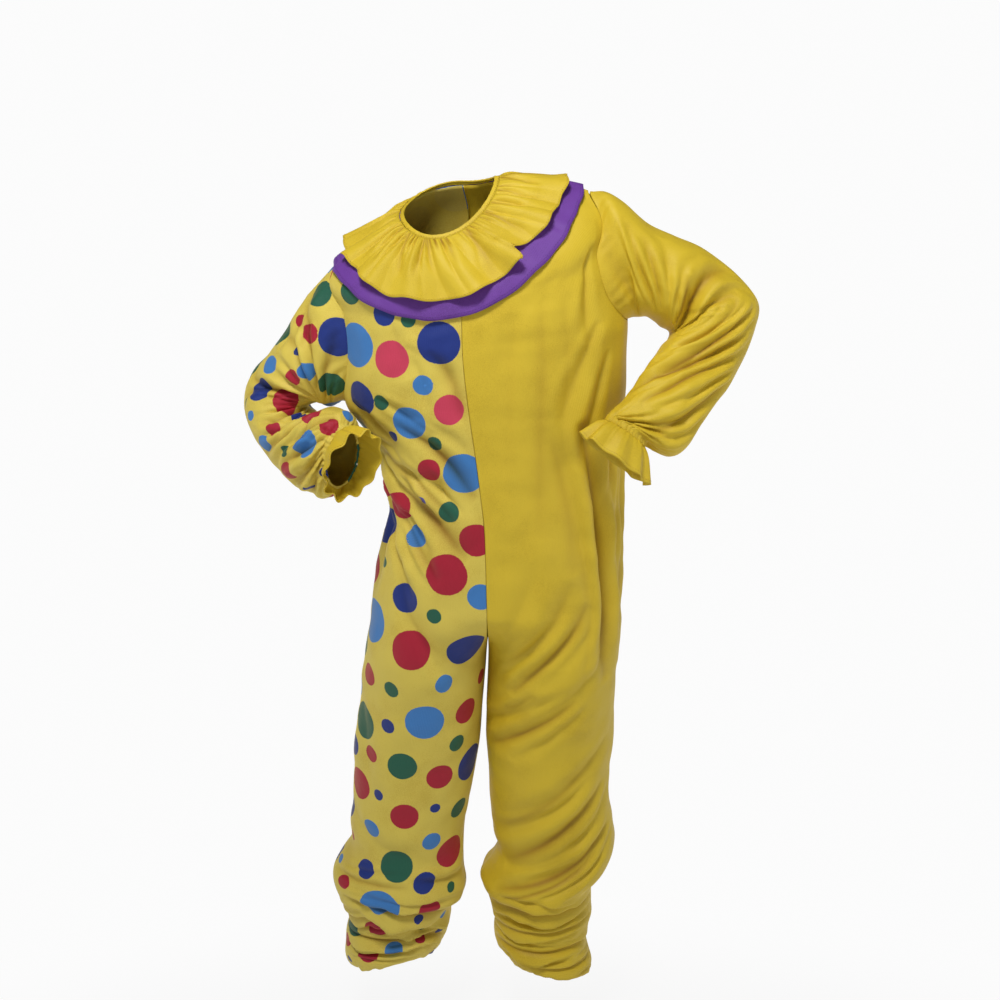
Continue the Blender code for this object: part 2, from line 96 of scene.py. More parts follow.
# A torso section: half is half the width, front and back the half depths, turn the sideways
# shift of the centre front, the drops say how far the centres hang below the middle.
torso = {
    "columns": ("down", "x", "tilt", "half", "front", "back", "turn", "dropFront", "dropBack"),
    "rows": (
        (0, 0, 20.0, 73, 76, 68, -22, 48, -6),
        (20, 9, 18.0, 129, 100, 90, -19, 62, 6),
        (44, 17, 15.7, 186, 113, 104, -6, 82, 24),
        (110, 30, 15.2, 202, 124, 115, -11, 52, 20),
        (180, 42, 15.9, 210, 129, 121, -22, 14, 6),
        (245, 51, 17.0, 216, 130, 122, -28, -8, -4),
        (303, 63, 11.6, 204, 130, 118, -33, -3, 0),
        (360, 76, 7.5, 192, 128, 112, -39, -6, 0),
        (418, 82, 4.2, 185, 127, 108, -38, -4, 0),
        (474, 85, 2.5, 183, 127, 109, -35, -2, 0),
        (526, 78, 0.5, 192, 128, 115, -26, 0, 0),
        (579, 73, 0.0, 198, 128, 121, -20, 0, 0),
        (635, 68, 0.0, 203, 128, 127, -14, 0, 0),
        (702, 63, 0.0, 208, 126, 130, -9, 0, 0),
        (755, 57, 0.0, 211, 120, 126, -4, 0, 0),
    ),
}
# A leg section: outer and inner are its sides in X, depth is half its depth, y its middle, and
# lift and rise tilt it sideways and forwards.
legColumns = ("down", "outer", "inner", "depth", "y", "lift", "rise")
rightLeg = {
    "columns": legColumns,
    "rows": (
        (620, -131, 52, 130, 0, 0, 0),
        (750, -153, 51, 114, 3, 0, 0),
        (825, -162, 45, 105, 6, 0, 0),
        (917, -175, 38, 97, 8, 0, 0),
        (1000, -181, 23, 93, 8, 0, 0),
        (1060, -188, 13, 90, 8, 0, 0),
        (1110, -191, 9, 88, 6, 0, 0),
        (1140, -211, 9, 95, 4, 0, 0),
        (1166, -224, 9, 100, 2, 2, 0),
        (1196, -214, 13, 98, 0, 4, 2),
        (1224, -203, 5, 90, 0, 6, 5),
        (1245, -196, -12, 80, 0, 8, 8),
        (1270, -202, -15, 84, 0, 10, 12),
        (1295, -207, -20, 86, -2, 12, 17),
        (1320, -208, -33, 82, -5, 14, 22),
        (1352, -200, -48, 68, -8, 17, 28),
    ),
}
leftLeg = {
    "columns": legColumns,
    "rows": (
        (620, 272, 55, 130, 0, 0, 0),
        (750, 270, 54, 114, 3, 0, 0),
        (838, 267, 51, 105, 6, 0, 0),
        (900, 266, 50, 100, 8, 0, 0),
        (958, 264, 54, 97, 8, 0, 0),
        (1022, 265, 56, 94, 8, 0, 0),
        (1078, 273, 63, 92, 6, 0, 0),
        (1120, 276, 70, 93, 4, 0, 0),
        (1145, 266, 57, 98, 2, 0, 0),
        (1170, 243, 39, 98, 0, 0, 0),
        (1195, 235, 47, 92, 0, 0, 0),
        (1220, 235, 55, 84, 0, 2, 0),
        (1243, 237, 61, 86, 0, 4, 1),
        (1270, 232, 65, 80, 0, 6, 3),
        (1300, 230, 63, 82, -2, 7, 5),
        (1325, 236, 68, 80, -4, 8, 9),
        (1346, 241, 84, 74, -6, 9, 14),
        (1373, 236, 98, 64, -8, 11, 19),
    ),
}
# An arm section: its middle, half its width along aim, an angle up from +X, and half its depth,
# turned by lead.
armColumns = ("station", "x", "y", "z", "reach", "aim", "depth", "lead")
rightArm = {
    "columns": armColumns,
    "rows": (
        (1, -191, 4, -221, 89, 101, 64, -6),
        (2, -205, 15, -238, 80, 109, 67, -8),
        (3, -223, 28, -261, 68, 120, 68, -8),
        (4, -244, 38, -277, 57, 140, 66, -5),
        (5, -267, 40, -295, 56, 156, 64, -1),
        (6, -280, 33, -315, 51, 171, 63, 4),
        (7, -271, 18, -336, 54, 186, 62, 10),
        (8, -253, -3, -351, 57, 200, 62, 16),
        (9, -233, -25, -355, 64, 220, 60, 22),
        (10, -214, -49, -362, 67, 234, 58, 28),
        (11, -195, -70, -369, 70, 246, 55, 34),
        (12, -177, -88, -372, 70, 254, 50, 39),
        (13, -168, -99, -372, 62, 258, 42, 42),
        (14, -165, -107, -369, 50, 260, 32, 45),
        (15, -160, -112, -370, 48, 260, 31, 45),
    ),
}
leftArm = {
    "columns": armColumns,
    "rows": (
        (1, 253, 0, -86, 94, 104, 60, 0),
        (2, 270, 0, -94, 85, 100, 67, 0),
        (3, 296, 0, -109, 69, 91, 68, 0),
        (4, 322, 0, -121, 66, 78, 66, 0),
        (5, 349, -2, -135, 66, 62, 64, 2),
        (6, 378, -5, -154, 65, 42, 62, 6),
        (7, 396, -12, -177, 69, 21, 60, 14),
        (8, 392, -22, -200, 65, 8, 60, 20),
        (9, 379, -36, -224, 63, -7, 58, 25),
        (10, 362, -52, -249, 62, -20, 56, 28),
        (11, 345, -68, -269, 59, -31, 54, 28),
        (12, 328, -84, -290, 57, -42, 50, 28),
        (13, 311, -98, -310, 59, -49, 45, 26),
        (14, 293, -108, -326, 55, -48, 40, 24),
        (15, 273, -114, -328, 45, -42, 33, 22),
        (16, 262, -117, -324, 36, -37, 28, 20),
        (17, 257, -120, -331, 35, -37, 27, 20),
    ),
}
rightCuff = {
    "columns": armColumns,
    "rows": (
        (1, -154, -124, -371, 53, 254, 38, 47),
        (2, -140, -142, -374, 55, 246, 47, 48),
    ),
}
leftCuff = {
    "columns": armColumns,
    "rows": (
        (1, 252, -127, -341, 46, -37, 33, 18),
        (2, 241, -138, -366, 62, -38, 43, 15),
    ),
}


def torsoPoints(side, down, around):
    row = smoothRows(torso, down)
    lean = np.tan(np.radians(row["tilt"]))
    front = around <= 0.5
    shift = np.where(front, row["turn"], -backTurn * row["turn"])
    faceY = np.where(front, -row["front"], row["back"])
    faceZ = shift * lean - down - np.where(front, row["dropFront"], row["dropBack"])
    edgeX = row["x"] + side * row["half"]
    edgeZ = side * row["half"] * lean - down
    sine = np.sin(math.pi * around)
    toEdge = np.sign(sine) * np.abs(sine) ** torsoRound
    toFace = np.abs(np.cos(math.pi * around)) ** torsoRound
    middleX = row["x"] + shift
    middleZ = (edgeZ + faceZ) / 2
    x = middleX + (edgeX - middleX) * toEdge
    rise = toEdge * np.abs(toEdge) ** (1 - fade(down, 0, neckBlend))
    z = middleZ + (edgeZ - middleZ) * rise + (faceZ - middleZ) * toFace
    return np.stack([x, faceY * toFace, z], axis=-1)


def legPoints(side, down, around):
    row = smoothRows(rightLeg if side < 0 else leftLeg, down)
    spread = crotchSpread + (1 - crotchSpread) * fade(down, crotch, thigh)
    halfRound = 1 - np.abs(1 - 2 * around)
    turned = np.sign(halfRound) * np.abs(halfRound) ** spread / 2
    turn = 2 * math.pi * np.where(around <= 0.5, turned, 1 - turned)
    middle = (row["outer"] + row["inner"]) / 2
    half = (row["inner"] - row["outer"]) / 2
    x = middle + half * np.cos(turn)
    y = row["y"] - row["depth"] * np.sin(turn)
    z = row["lift"] * np.cos(turn) + row["rise"] * np.sin(turn) - down
    return np.stack([x, y, z], axis=-1)


def bodyBase(side, down, around):
    share = fade(down, hip, crotch)[..., None]
    torsoPart = torsoPoints(side, np.minimum(down, crotch), around)
    legPart = legPoints(side, np.maximum(down, hip), around)
    return (1 - share) * torsoPart + share * legPart


def bodySlopes(side, down, around):
    step = 0.004
    along = bodyBase(side, down + halfGirth * step, around)
    along = along - bodyBase(side, down - halfGirth * step, around)
    across = bodyBase(side, down, around + step) - bodyBase(side, down, around - step)
    return side * unit(np.cross(along, across))


# A fold runs from where the cloth is pulled, A, to where it opens out, B, and bows sideways.
# Its bottom sinks (or rises, where sink is negative); beside it the cloth stands up in two
# shoulders. lean moves the deepest part towards A (below 0) or B; roll makes the shoulder
# above the fold the larger one, as where cloth hangs over a tuck.
foldColumns = ("aroundA", "alongA", "aroundB", "alongB", "bow", "width", "sink", "lean", "roll")
# Across a fold, in its widths: the valley has a narrow bottom and opens out, a shoulder stands
# on either side of it, and painted shade darkens the colour in a line along the bottom of a deep
# fold, which is one that sinks by more than creaseFrom.
foldShape = {"narrow": 0.6, "widens": 0.7, "swell": 0.6, "valley": 0.35, "shoulder": 0.34,
             "apart": 1.9, "under": 1.0, "over": 0.9, "rollsIn": 0.7, "crease": 0.42,
             "creaseFall": 1.4, "creaseFrom": 4.5, "creaseRange": 6.0}
# Beside each main fold run shorter, shallower ones that fan out from where the cloth is pulled.
# Each is drawn from these ranges, in this order: shares of the main fold's length, width,
# depth and bow, and the small fold's own lean.
smallFolds = {"apart": (1.8, 2.7), "first": (-0.05, 0.25), "last": (0.7, 1.05),
              "near": (0.6, 0.9), "far": (1.0, 1.3), "sink": (0.3, 0.6), "bow": (0.3, 1.4),
              "width": (0.5, 0.8), "lean": (-0.4, 0.4)}
smallFoldRun = 110.0  # above this length a main fold has two small ones on each side
smallFoldSink = 5.0


def withSmallFolds(folds, seed, acrossScale, alongScale, leastSink):
    chance = np.random.default_rng(seed)
    rows = list(folds)
    for row in folds:
        fold = dict(zip(foldColumns, row))
        if abs(fold["sink"]) < leastSink:
            continue
        runX = (fold["aroundB"] - fold["aroundA"]) * acrossScale
        runY = (fold["alongB"] - fold["alongA"]) * alongScale
        length = math.hypot(runX, runY)
        for side in (-1, 1):
            for _ in range(2 if length > smallFoldRun else 1):
                draw = {key: chance.uniform(*limits) for key, limits in smallFolds.items()}
                shift = side * fold["width"] * draw["apart"]
                sideX, sideY = -runY / length * shift, runX / length * shift
                ends = []
                for share, aside in (("first", "near"), ("last", "far")):
                    ends += [fold["aroundA"]
                             + (draw[share] * runX + draw[aside] * sideX) / acrossScale,
                             fold["alongA"]
                             + (draw[share] * runY + draw[aside] * sideY) / alongScale]
                rows.append((*ends, fold["bow"] * draw["bow"], fold["width"] * draw["width"],
                             min(fold["sink"] * draw["sink"], smallFoldSink), draw["lean"],
                             fold["roll"]))
    return rows


def foldHeight(across, along, folds, acrossScale, alongScale):
    height = np.zeros(np.broadcast(across, along).shape)
    crease = np.zeros(height.shape)
    for row in folds:
        fold = dict(zip(foldColumns, row))
        startX, startY = fold["aroundA"] * acrossScale, fold["alongA"] * alongScale
        runX = fold["aroundB"] * acrossScale - startX
        runY = fold["alongB"] * alongScale - startY
        length = math.hypot(runX, runY)
        share = ((across - startX) * runX + (along - startY) * runY) / length**2
        away = ((along - startY) * runX - (across - startX) * runY) / length
        inside = np.clip(share, 0, 1)
        width = fold["width"] * (foldShape["narrow"] + foldShape["widens"] * inside)
        aside = (away - fold["bow"] * 4 * inside * (1 - inside)) / width
        above = aside if runX < 0 else -aside
        swell = np.sin(math.pi * inside ** (2.0 ** fold["lean"])) ** foldShape["swell"]
        opening = foldShape["valley"] + (1 - foldShape["valley"]) * np.abs(above)
        valley = np.exp(-above * above / opening)
        low = (above + foldShape["apart"]) / foldShape["under"]
        high = above - foldShape["apart"] + foldShape["rollsIn"] * fold["roll"]
        high = high / foldShape["over"]
        under = (1 - fold["roll"]) * np.exp(-low ** 2)
        over = (1 + fold["roll"]) * np.exp(-high ** 2)
        height -= fold["sink"] * swell * (valley - foldShape["shoulder"] * (under + over))
        # Painted shade: the deeper the fold, the darker the line painted along its bottom.
        depth = (fold["sink"] - foldShape["creaseFrom"]) / foldShape["creaseRange"]
        line = np.exp(-np.abs(above / foldShape["crease"]) ** foldShape["creaseFall"])
        crease = np.maximum(crease, min(max(depth, 0), 1) * swell * line)
    return height, crease


def surfaceNormals(points, wrapped):
    if wrapped:
        wide = np.concatenate([points[:, -1:], points, points[:, :1]], axis=1)
        across = np.gradient(wide, axis=1)[:, 1:-1]
    else:
        across = np.gradient(points, axis=1)
    return unit(np.cross(np.gradient(points, axis=0), across))


def outward(normals, points, inside):
    return normals if np.sum(normals * (points - inside)) > 0 else -normals


def linked(name, data):
    holder = bpy.data.objects.new(name, data)
    bpy.context.scene.collection.objects.link(holder)
    return holder


def raised(points, normals, height, inside):
    points = points + normals * height[..., None]
    return points, outward(surfaceNormals(points, True), points, inside)


def runLengths(points, axis, closed=False):
    steps = np.linalg.norm(np.diff(points, axis=axis), axis=-1)
    start = np.zeros_like(np.take(steps, [0], axis=axis))
    run = np.concatenate([start, np.cumsum(steps, axis=axis)], axis=axis)
    if closed:
        last = np.linalg.norm(points[:, :1] - points[:, -1:], axis=-1)
        run = np.concatenate([run, run[:, -1:] + last], axis=1)
    return run


# How far each row of a ruffle lies from its free edge, which is the last one.
def edgeDistance(points):
    run = runLengths(points, 0).mean(axis=1)
    return run[-1] - run


# Ruffles are thicker beside the free edge, where the cloth is rolled and sewn.
def rolledEdge(points, roll, width):
    near = np.exp(-((edgeDistance(points) - rollFromEdge) / width) ** 2)
    return (collarThickness + roll * near)[:, None]


# grid: points, normals, thickness, wrapped and the painted shade along the folds, and for a
# spotted piece its place, which is where each point was before the cloth folded.
def addCloth(name, grid, material):
    points, normals, wrapped = grid["points"], grid["normals"], grid["wrapped"]
    rows, columns = points.shape[:2]
    count = rows * columns
    half = np.broadcast_to(grid["thickness"], (rows, columns))[..., None] / 2
    vertices = np.concatenate([(points + normals * half).reshape(-1, 3),
                               (points - normals * half).reshape(-1, 3)]) * mm
    spans = columns if wrapped else columns - 1
    row, column = np.arange(rows - 1)[:, None], np.arange(spans)[:, None]
    i, j = np.repeat(row, spans, axis=0), np.tile(column, (rows - 1, 1))
    # The rows, columns and skins of each face's corners; the outer skin is 0, the inner 1.
    later, between = np.array([0, 0, 1, 1]), np.array([0, 1, 1, 0])
    quads = [(i + later, j + between, 0), (i + later[::-1], j + between, 1)]
    quads += [(end, column + 1 - between, later[::flip])
              for end, flip in ((0, 1), (rows - 1, -1))]
    if not wrapped:
        quads += [(row + between, end, later[::flip])
                  for end, flip in ((0, 1), (columns - 1, -1))]
    corners = zip(*(np.broadcast_arrays(*quad) for quad in quads))
    cornerRows, cornerColumns, skins = (np.concatenate(parts) for parts in corners)
    faces = skins * count + cornerRows * columns + cornerColumns % columns
    a, b, c = (vertices[faces[:, n]] for n in (0, 1, 2))
    order = -1 if np.sum(a * np.cross(b, c)) < 0 else 1
    faces, cornerRows, cornerColumns = (part[:, ::order]
                                        for part in (faces, cornerRows, cornerColumns))
    mesh = bpy.data.meshes.new(name)
    mesh.from_pydata(vertices.tolist(), [], faces.tolist())
    mesh.polygons.foreach_set("use_smooth", np.arange(len(faces)) < 2 * len(i))
    mesh.materials.append(material)
    across = runLengths(points, 1, wrapped)
    along = np.broadcast_to(runLengths(points, 0).mean(axis=1, keepdims=True), across.shape)
    cloth = np.stack([run[cornerRows, cornerColumns] for run in (across, along)], axis=-1) * mm
    layer = mesh.uv_layers.new(name="cloth")
    layer.data.foreach_set("uv", cloth.ravel())
    # The painted shade along the folds goes on the outer skin only.
    if "crease" in grid:
        shade = mesh.attributes.new("crease", "FLOAT", "POINT")
        deep = np.broadcast_to(grid["crease"], (rows, columns)).ravel()
        shade.data.foreach_set("value", np.concatenate([deep, np.zeros(count)]))
    if "spots" in grid:
        addSpots(mesh, grid, faces, count)
    return linked(name, mesh)


spotChunk = 20000  # faces at a time, which keeps the memory small


# Every face carries the centre, radius and colour of the spot nearest to it.
def addSpots(mesh, grid, faces, count):
    place = np.tile(grid["place"].reshape(-1, 3), (2, 1)) * mm
    middles = place[faces].mean(axis=1)
    centres, radii, colours = (np.array([spot[key] for spot in grid["spots"]])
                               for key in ("centre", "radius", "colour"))
    centres, radii = centres * mm, radii * mm
    best = np.empty(len(faces), int)
    for start in range(0, len(faces), spotChunk):
        part = middles[start:start + spotChunk]
        away = np.linalg.norm(part[:, None] - centres[None], axis=-1) - radii[None]
        best[start:start + spotChunk] = away.argmin(axis=1)
    shows = np.where((faces >= count).all(axis=1), printed["through"], 1.0)
    colours = np.column_stack([colours[best], np.ones(len(best))])
    sizes = np.column_stack([radii[best], shows, np.zeros(len(best))])
    for label, kind, domain, key, values in (
            ("clothPlace", "FLOAT_VECTOR", "POINT", "vector", place),
            ("spotCentre", "FLOAT_VECTOR", "FACE", "vector", centres[best]),
            ("spotColour", "FLOAT_COLOR", "FACE", "color", colours),
            ("spotSize", "FLOAT_VECTOR", "FACE", "vector", sizes)):
        mesh.attributes.new(label, kind, domain).data.foreach_set(key, values.ravel())


# How deep the turned edge lies below the face, and how far its normals have turned by then.
edgeTurn = {"depths": (0.5, 1.6), "turns": (0.75, 1.5, math.pi / 2), "panelSeam": 4.5,
            "panelHem": 9.0, "sleeve": 3.5}


# Rounds the grid's first or last edge over and turns it in, as beside a sewn seam.
def turnEdges(grid, axis, first, last, flange):
    parts = {key: np.moveaxis(grid[key], axis, 0)
             for key in ("points", "normals", "place", "crease")}
    depths = (*edgeTurn["depths"], flange)
    for wanted, order in ((first, slice(None, None, -1)), (last, slice(None))):
        if not wanted:
            continue
        parts = {key: values[order] for key, values in parts.items()}
        edge, up = parts["points"][-1], parts["normals"][-1]
        sideways = edge - parts["points"][-2]
        sideways = unit(sideways - np.sum(sideways * up, axis=-1, keepdims=True) * up)
        added = {"points": [edge - up * depth for depth in depths],
                 "normals": [unit(up * math.cos(turn) + sideways * math.sin(turn))
                             for turn in edgeTurn["turns"]]}
        for key, values in parts.items():
            more = np.stack(added.get(key, [values[-1]] * len(depths)))
            parts[key] = np.concatenate([values, more])[order]
    for key, values in parts.items():
        grid[key] = np.moveaxis(values, 0, axis)


nearEdge = np.array([0.0, 0.9, 2.0, 3.6])


# Places from 0 to length: a few close to each end, the rest a step apart.
def edgedSpan(length, step):
    edge = nearEdge[-1]
    middle = np.linspace(edge, length - edge, max(2, int(round((length - 2 * edge) / step)) + 1))
    return np.concatenate([nearEdge[:-1], middle, length - nearEdge[:-1][::-1]])


# Where cloth is pushed together, more of it lies between two levels than their distance.
crumpled = {"from": 1140.0, "share": 0.55, "step": 2.5}
# How folds and swells calm down beside seams, under the collar and by the armhole, and what
# the elastic does at the hem. Pairs give the levels where a change starts and ends; those of
# hemPleatsFrom and turnsFrom count from the hem.
bodyCloth = {"ripple": 1.5, "atSeam": 0.15, "seamCalm": 16.0, "underCollar": (105, 150),
             "atArmhole": 0.3, "armholeCalm": 22, "belowArmhole": 12, "belowShare": 4,
             "droop": 2.0, "droopFrom": (1120, 1180), "smallFrom": 7.5,
             "hemPleats": (11, 17, 26), "hemPleatHeight": 1.3, "hemPleatsFrom": (-60, -20),
             "turnedIn": 13, "turnsFrom": (-24, 4)}


def hemLevel(side):
    return (rightLeg if side < 0 else leftLeg)["rows"][-1][0]


def armholeWidth(down):
    t = np.clip((down - shoulderTip) / (underarm - shoulderTip), 0, 1)
    return armholeHalf * 2 * np.sqrt(t * (1 - t))


def clothPlace(side, down, around):
    place = bodyBase(side, down, around)
    place[..., 2] -= crumpled["share"] * np.maximum(0, down - crumpled["from"])
    return place


swells = {"lengths": (150.0, 95.0, 60.0, 38.0), "each": 3, "evenOut": 2.4}


# Low uneven swells, as in cloth that hangs loosely.
def ripples(across, along, seed, size):
    chance = np.random.default_rng(seed)
    height = np.zeros(np.broadcast(across, along).shape)
    for length in swells["lengths"]:
        for _ in range(swells["each"]):
            turn = chance.uniform(0, math.pi)
            waves = (across * math.cos(turn) + along * math.sin(turn)) / length
            waves = np.sin(2 * math.pi * (waves + chance.uniform(0, 1)))
            height += length / swells["lengths"][0] * waves
    return size * height / swells["evenOut"]


pleating = {"least": 0.6, "slow": (2, 6), "drift": 0.12, "drifts": 3}


# Uneven small pleats round a gathered edge: turn is 0 to 1 once round.
def gathers(turn, counts, seed):
    chance = np.random.default_rng(seed)
    height = np.zeros(np.shape(turn))
    for count in counts:
        slow = chance.integers(*pleating["slow"]) * turn + chance.uniform()
        strength = pleating["least"] + (1 - pleating["least"]) * np.sin(2 * math.pi * slow)
        phase = chance.uniform()
        drift = pleating["drifts"] * turn + chance.uniform()
        phase = phase + pleating["drift"] * np.sin(2 * math.pi * drift)
        height = height + strength * np.cos(2 * math.pi * (count * turn + phase))
    return height / len(counts)


# The sum of waves round an edge: how many there are, where they start and how large they are.
def mixedWaves(around, waves, total=0):
    for count, start, size in waves:
        total = total + size * np.sin(count * around + start)
    return total


def bodyPoints(side, down, around, body):
    cloth = bodyCloth
    across = around * halfGirth
    folds = withSmallFolds(body["folds"], body["seed"] + 5, halfGirth, 1, cloth["smallFrom"])
    height, crease = foldHeight(across, down, folds, halfGirth, 1)
    height = height + ripples(across, down, body["seed"], cloth["ripple"])
    fromSeam = halfGirth * np.minimum(np.abs(around), np.abs(1 - around))
    calm = fade(fromSeam, 0, cloth["seamCalm"])
    height = height * (cloth["atSeam"] + (1 - cloth["atSeam"]) * calm)
    underCollar = 1 - fade(down, *cloth["underCollar"])
    height = np.where(height > 0, height * (1 - underCollar), height)
    below = cloth["belowShare"] * np.maximum(0, down - underarm - cloth["belowArmhole"])
    fromArmhole = np.hypot((np.abs(around - 0.5) - armholeWidth(down)) * halfGirth, below)
    calm = fade(fromArmhole, 0, cloth["armholeCalm"])
    height = height * (cloth["atArmhole"] + (1 - cloth["atArmhole"]) * calm)
    hem = hemLevel(side)
    nearHem = fade(down, *(hem + start for start in cloth["hemPleatsFrom"]))
    turnedIn = fade(down, *(hem + start for start in cloth["turnsFrom"])) ** 2
    pleats = gathers(around, cloth["hemPleats"], body["seed"] + 1)
    height = height + nearHem * (cloth["hemPleatHeight"] * pleats)
    height = height - cloth["turnedIn"] * turnedIn
    points = bodyBase(side, down, around) + bodySlopes(side, down, around) * height[..., None]
    droop = cloth["droop"] * fade(down, *cloth["droopFrom"])
    points[..., 2] -= droop * np.maximum(height, 0)
    return points, crease


def panelLevels(hem):
    turn = math.pi * np.arange(61) / 60
    armhole = shoulderTip + (underarm - shoulderTip) * (1 - np.cos(turn)) / 2
    upper = np.arange(underarm + panelStep, crumpled["from"], panelStep)
    lower = upper[-1] + edgedSpan(hem - upper[-1], crumpled["step"])[3:]
    return np.concatenate([np.linspace(0, shoulderTip, 14)[:-1], armhole, upper, lower])


def addPanel(name, side, front, body, material):
    down = panelLevels(hemLevel(side))
    share = edgedSpan(halfGirth / 2, columnStep) / (halfGirth / 2)
    around = share[None, :] * (0.5 - armholeWidth(down))[:, None]
    if not front:
        around = 1 - around
    level = np.broadcast_to(down[:, None], around.shape)
    offset = (seamGap + clothThickness) / 2
    points, crease = bodyPoints(side, level, around, body)
    points = points + np.array([side * offset, -offset if front else offset, 0])
    inside = np.stack([points[..., 0].mean(axis=1), np.zeros(len(down)),
                       points[..., 2].mean(axis=1)], axis=-1)[:, None]
    normals = outward(surfaceNormals(points, False), points, inside)
    grid = {"points": points, "normals": normals, "thickness": clothThickness, "wrapped": False,
            "place": clothPlace(side, level, around), "crease": crease}
    turnEdges(grid, 1, True, True, edgeTurn["panelSeam"])
    turnEdges(grid, 0, False, True, edgeTurn["panelHem"])
    if "spots" in body:
        grid["spots"] = body["spots"]["front" if front else "back"]
    return addCloth(name, grid, material)


def armholeLoop(side, columns):
    clear = seamGap + clothThickness + armholeClear
    turn = 2 * math.pi * np.arange(columns) / columns
    middle = (shoulderTip + underarm) / 2
    half = (underarm - shoulderTip) / 2 - clear
    down = middle + half * np.cos(turn)
    around = 0.5 - (armholeHalf - clear / halfGirth) * np.sin(turn)
    return bodyBase(side, down[None, :], around[None, :])[0]


def sectionRings(side, table, at, columns):
    row = smoothRows(table, at)
    aim, lead = np.radians(row["aim"]), np.radians(row["lead"])
    zero = np.zeros_like(aim)
    reach = np.stack([np.cos(aim), zero, np.sin(aim)], axis=-1)
    forward = np.stack([side * np.sin(aim), zero, -side * np.cos(aim)], axis=-1)
    back = np.cos(lead)[:, None] * np.array([0, 1, 0]) + np.sin(lead)[:, None] * forward
    turn = 2 * math.pi * np.arange(columns) / columns
    middle = np.stack([row["x"], row["y"], row["z"]], axis=-1)
    wide = (reach * row["reach"][:, None])[:, None, :] * -np.cos(turn)[None, :, None]
    deep = (back * row["depth"][:, None])[:, None, :] * -np.sin(turn)[None, :, None]
    return middle[:, None, :] + wide + deep, middle[:, None, :]


def smoothThrough(keys, at):
    flat = keys.reshape(len(keys), -1)
    names = tuple(range(flat.shape[1] + 1))
    table = {"columns": names, "rows": np.column_stack([np.arange(len(keys)), flat])}
    values = smoothRows(table, at)
    values = np.stack([values[name] for name in names[1:]], axis=-1)
    return values.reshape(len(at), *keys.shape[1:])


def wristAxis(side, arm):
    seat = dict(zip(arm["columns"], arm["rows"][-1]))
    aim, lead = math.radians(seat["aim"]), math.radians(seat["lead"])
    return np.array([side * math.sin(aim) * math.cos(lead), -math.sin(lead),
                     -side * math.cos(aim) * math.cos(lead)])


# Every section of a sleeve, from where it meets the body to the wrist, and their middles.
def armSections(side, arm, columns):
    stations = np.array([row[0] for row in arm["rows"]], float)
    rings, middles = sectionRings(side, arm, stations, columns)
    loop = armholeLoop(side, columns)
    middles = np.concatenate([loop.mean(axis=0)[None, None], middles])
    return np.concatenate([loop[None], rings]), middles


# Folds calm down at both ends of a sleeve, pleats gather before the wrist, and the seam at the
# armhole has small ones of its own. Pairs give the stations where a change starts and ends;
# those below 0 count back from the wrist.
sleeveCloth = {"columns": 156, "step": 2.6, "smallFrom": 6, "ripple": 1.3, "calmTop": (0.0, 0.9),
               "calmWrist": (-0.9, -0.1), "pleatHeight": 2.6, "pleatsFrom": (-4.0, -0.6),
               "armholePleats": (23, 31), "armholeHeight": 1.0, "armholeRise": (0.0, 0.25),
               "armholeFall": (0.4, 1.6)}


def addSleeve(name, side, arm, sleeve, material):
    cloth, columns, seed = sleeveCloth, sleeveCloth["columns"], sleeve["seed"]
    keys, keyMiddles = armSections(side, arm, columns)
    last = len(keys) - 1
    at = edgedSpan(last * stationLength, cloth["step"]) / stationLength
    at = at / at[-1] * last
    place, inside = smoothThrough(keys, at), smoothThrough(keyMiddles, at)
    normals = outward(surfaceNormals(place, True), place, inside)
    turn = np.arange(columns) / columns
    across = sleeveGirth * turn[None, :]
    along = stationLength * at[:, None]
    folds = withSmallFolds(sleeve["folds"], seed + 5, sleeveGirth, stationLength,
                           cloth["smallFrom"])
    height, crease = foldHeight(across, along, folds, sleeveGirth, stationLength)
    for wrap in (-sleeveGirth, sleeveGirth):
        more, deeper = foldHeight(across + wrap, along, folds, sleeveGirth, stationLength)
        height, crease = height + more, np.maximum(crease, deeper)
    ring = sleeveGirth / math.pi * np.cos(2 * math.pi * turn)[None, :]
    height = height + ripples(ring, along, seed, cloth["ripple"])
    calmWrist, pleated = (fade(at, *(last + start for start in cloth[key]))
                          for key in ("calmWrist", "pleatsFrom"))
    calm = fade(at, *cloth["calmTop"]) * (1 - calmWrist)
    pleats = gathers(turn, sleeve["gathers"], seed + 1)[None, :]
    height = height * calm[:, None] + cloth["pleatHeight"] * pleated[:, None] * pleats
    pleats = gathers(turn, cloth["armholePleats"], seed + 2)[None, :]
    nearArmhole = fade(at, *cloth["armholeRise"]) * (1 - fade(at, *cloth["armholeFall"]))
    height = height + cloth["armholeHeight"] * nearArmhole[:, None] * pleats
    points, normals = raised(place, normals, height, inside)
    grid = {"points": points, "normals": normals, "thickness": clothThickness, "wrapped": True,
            "place": place, "crease": crease}
    turnEdges(grid, 0, True, True, edgeTurn["sleeve"])
    if "spots" in sleeve:
        grid["spots"] = sleeve["spots"]
    return addCloth(name, grid, material)


# The pleats of the gather flatten towards the free edge, where wide waves take over.
cuffCloth = {"columns": 240, "rows": 16, "gathers": (30, 41, 23), "gatherHeight": 1.5,
             "waveHeight": 0.6, "waveGrows": 3.6, "drift": (3, 0.06), "uneven": (2, 0.2, 0.35),
             "roll": 1.0, "rollWidth": 1.3}


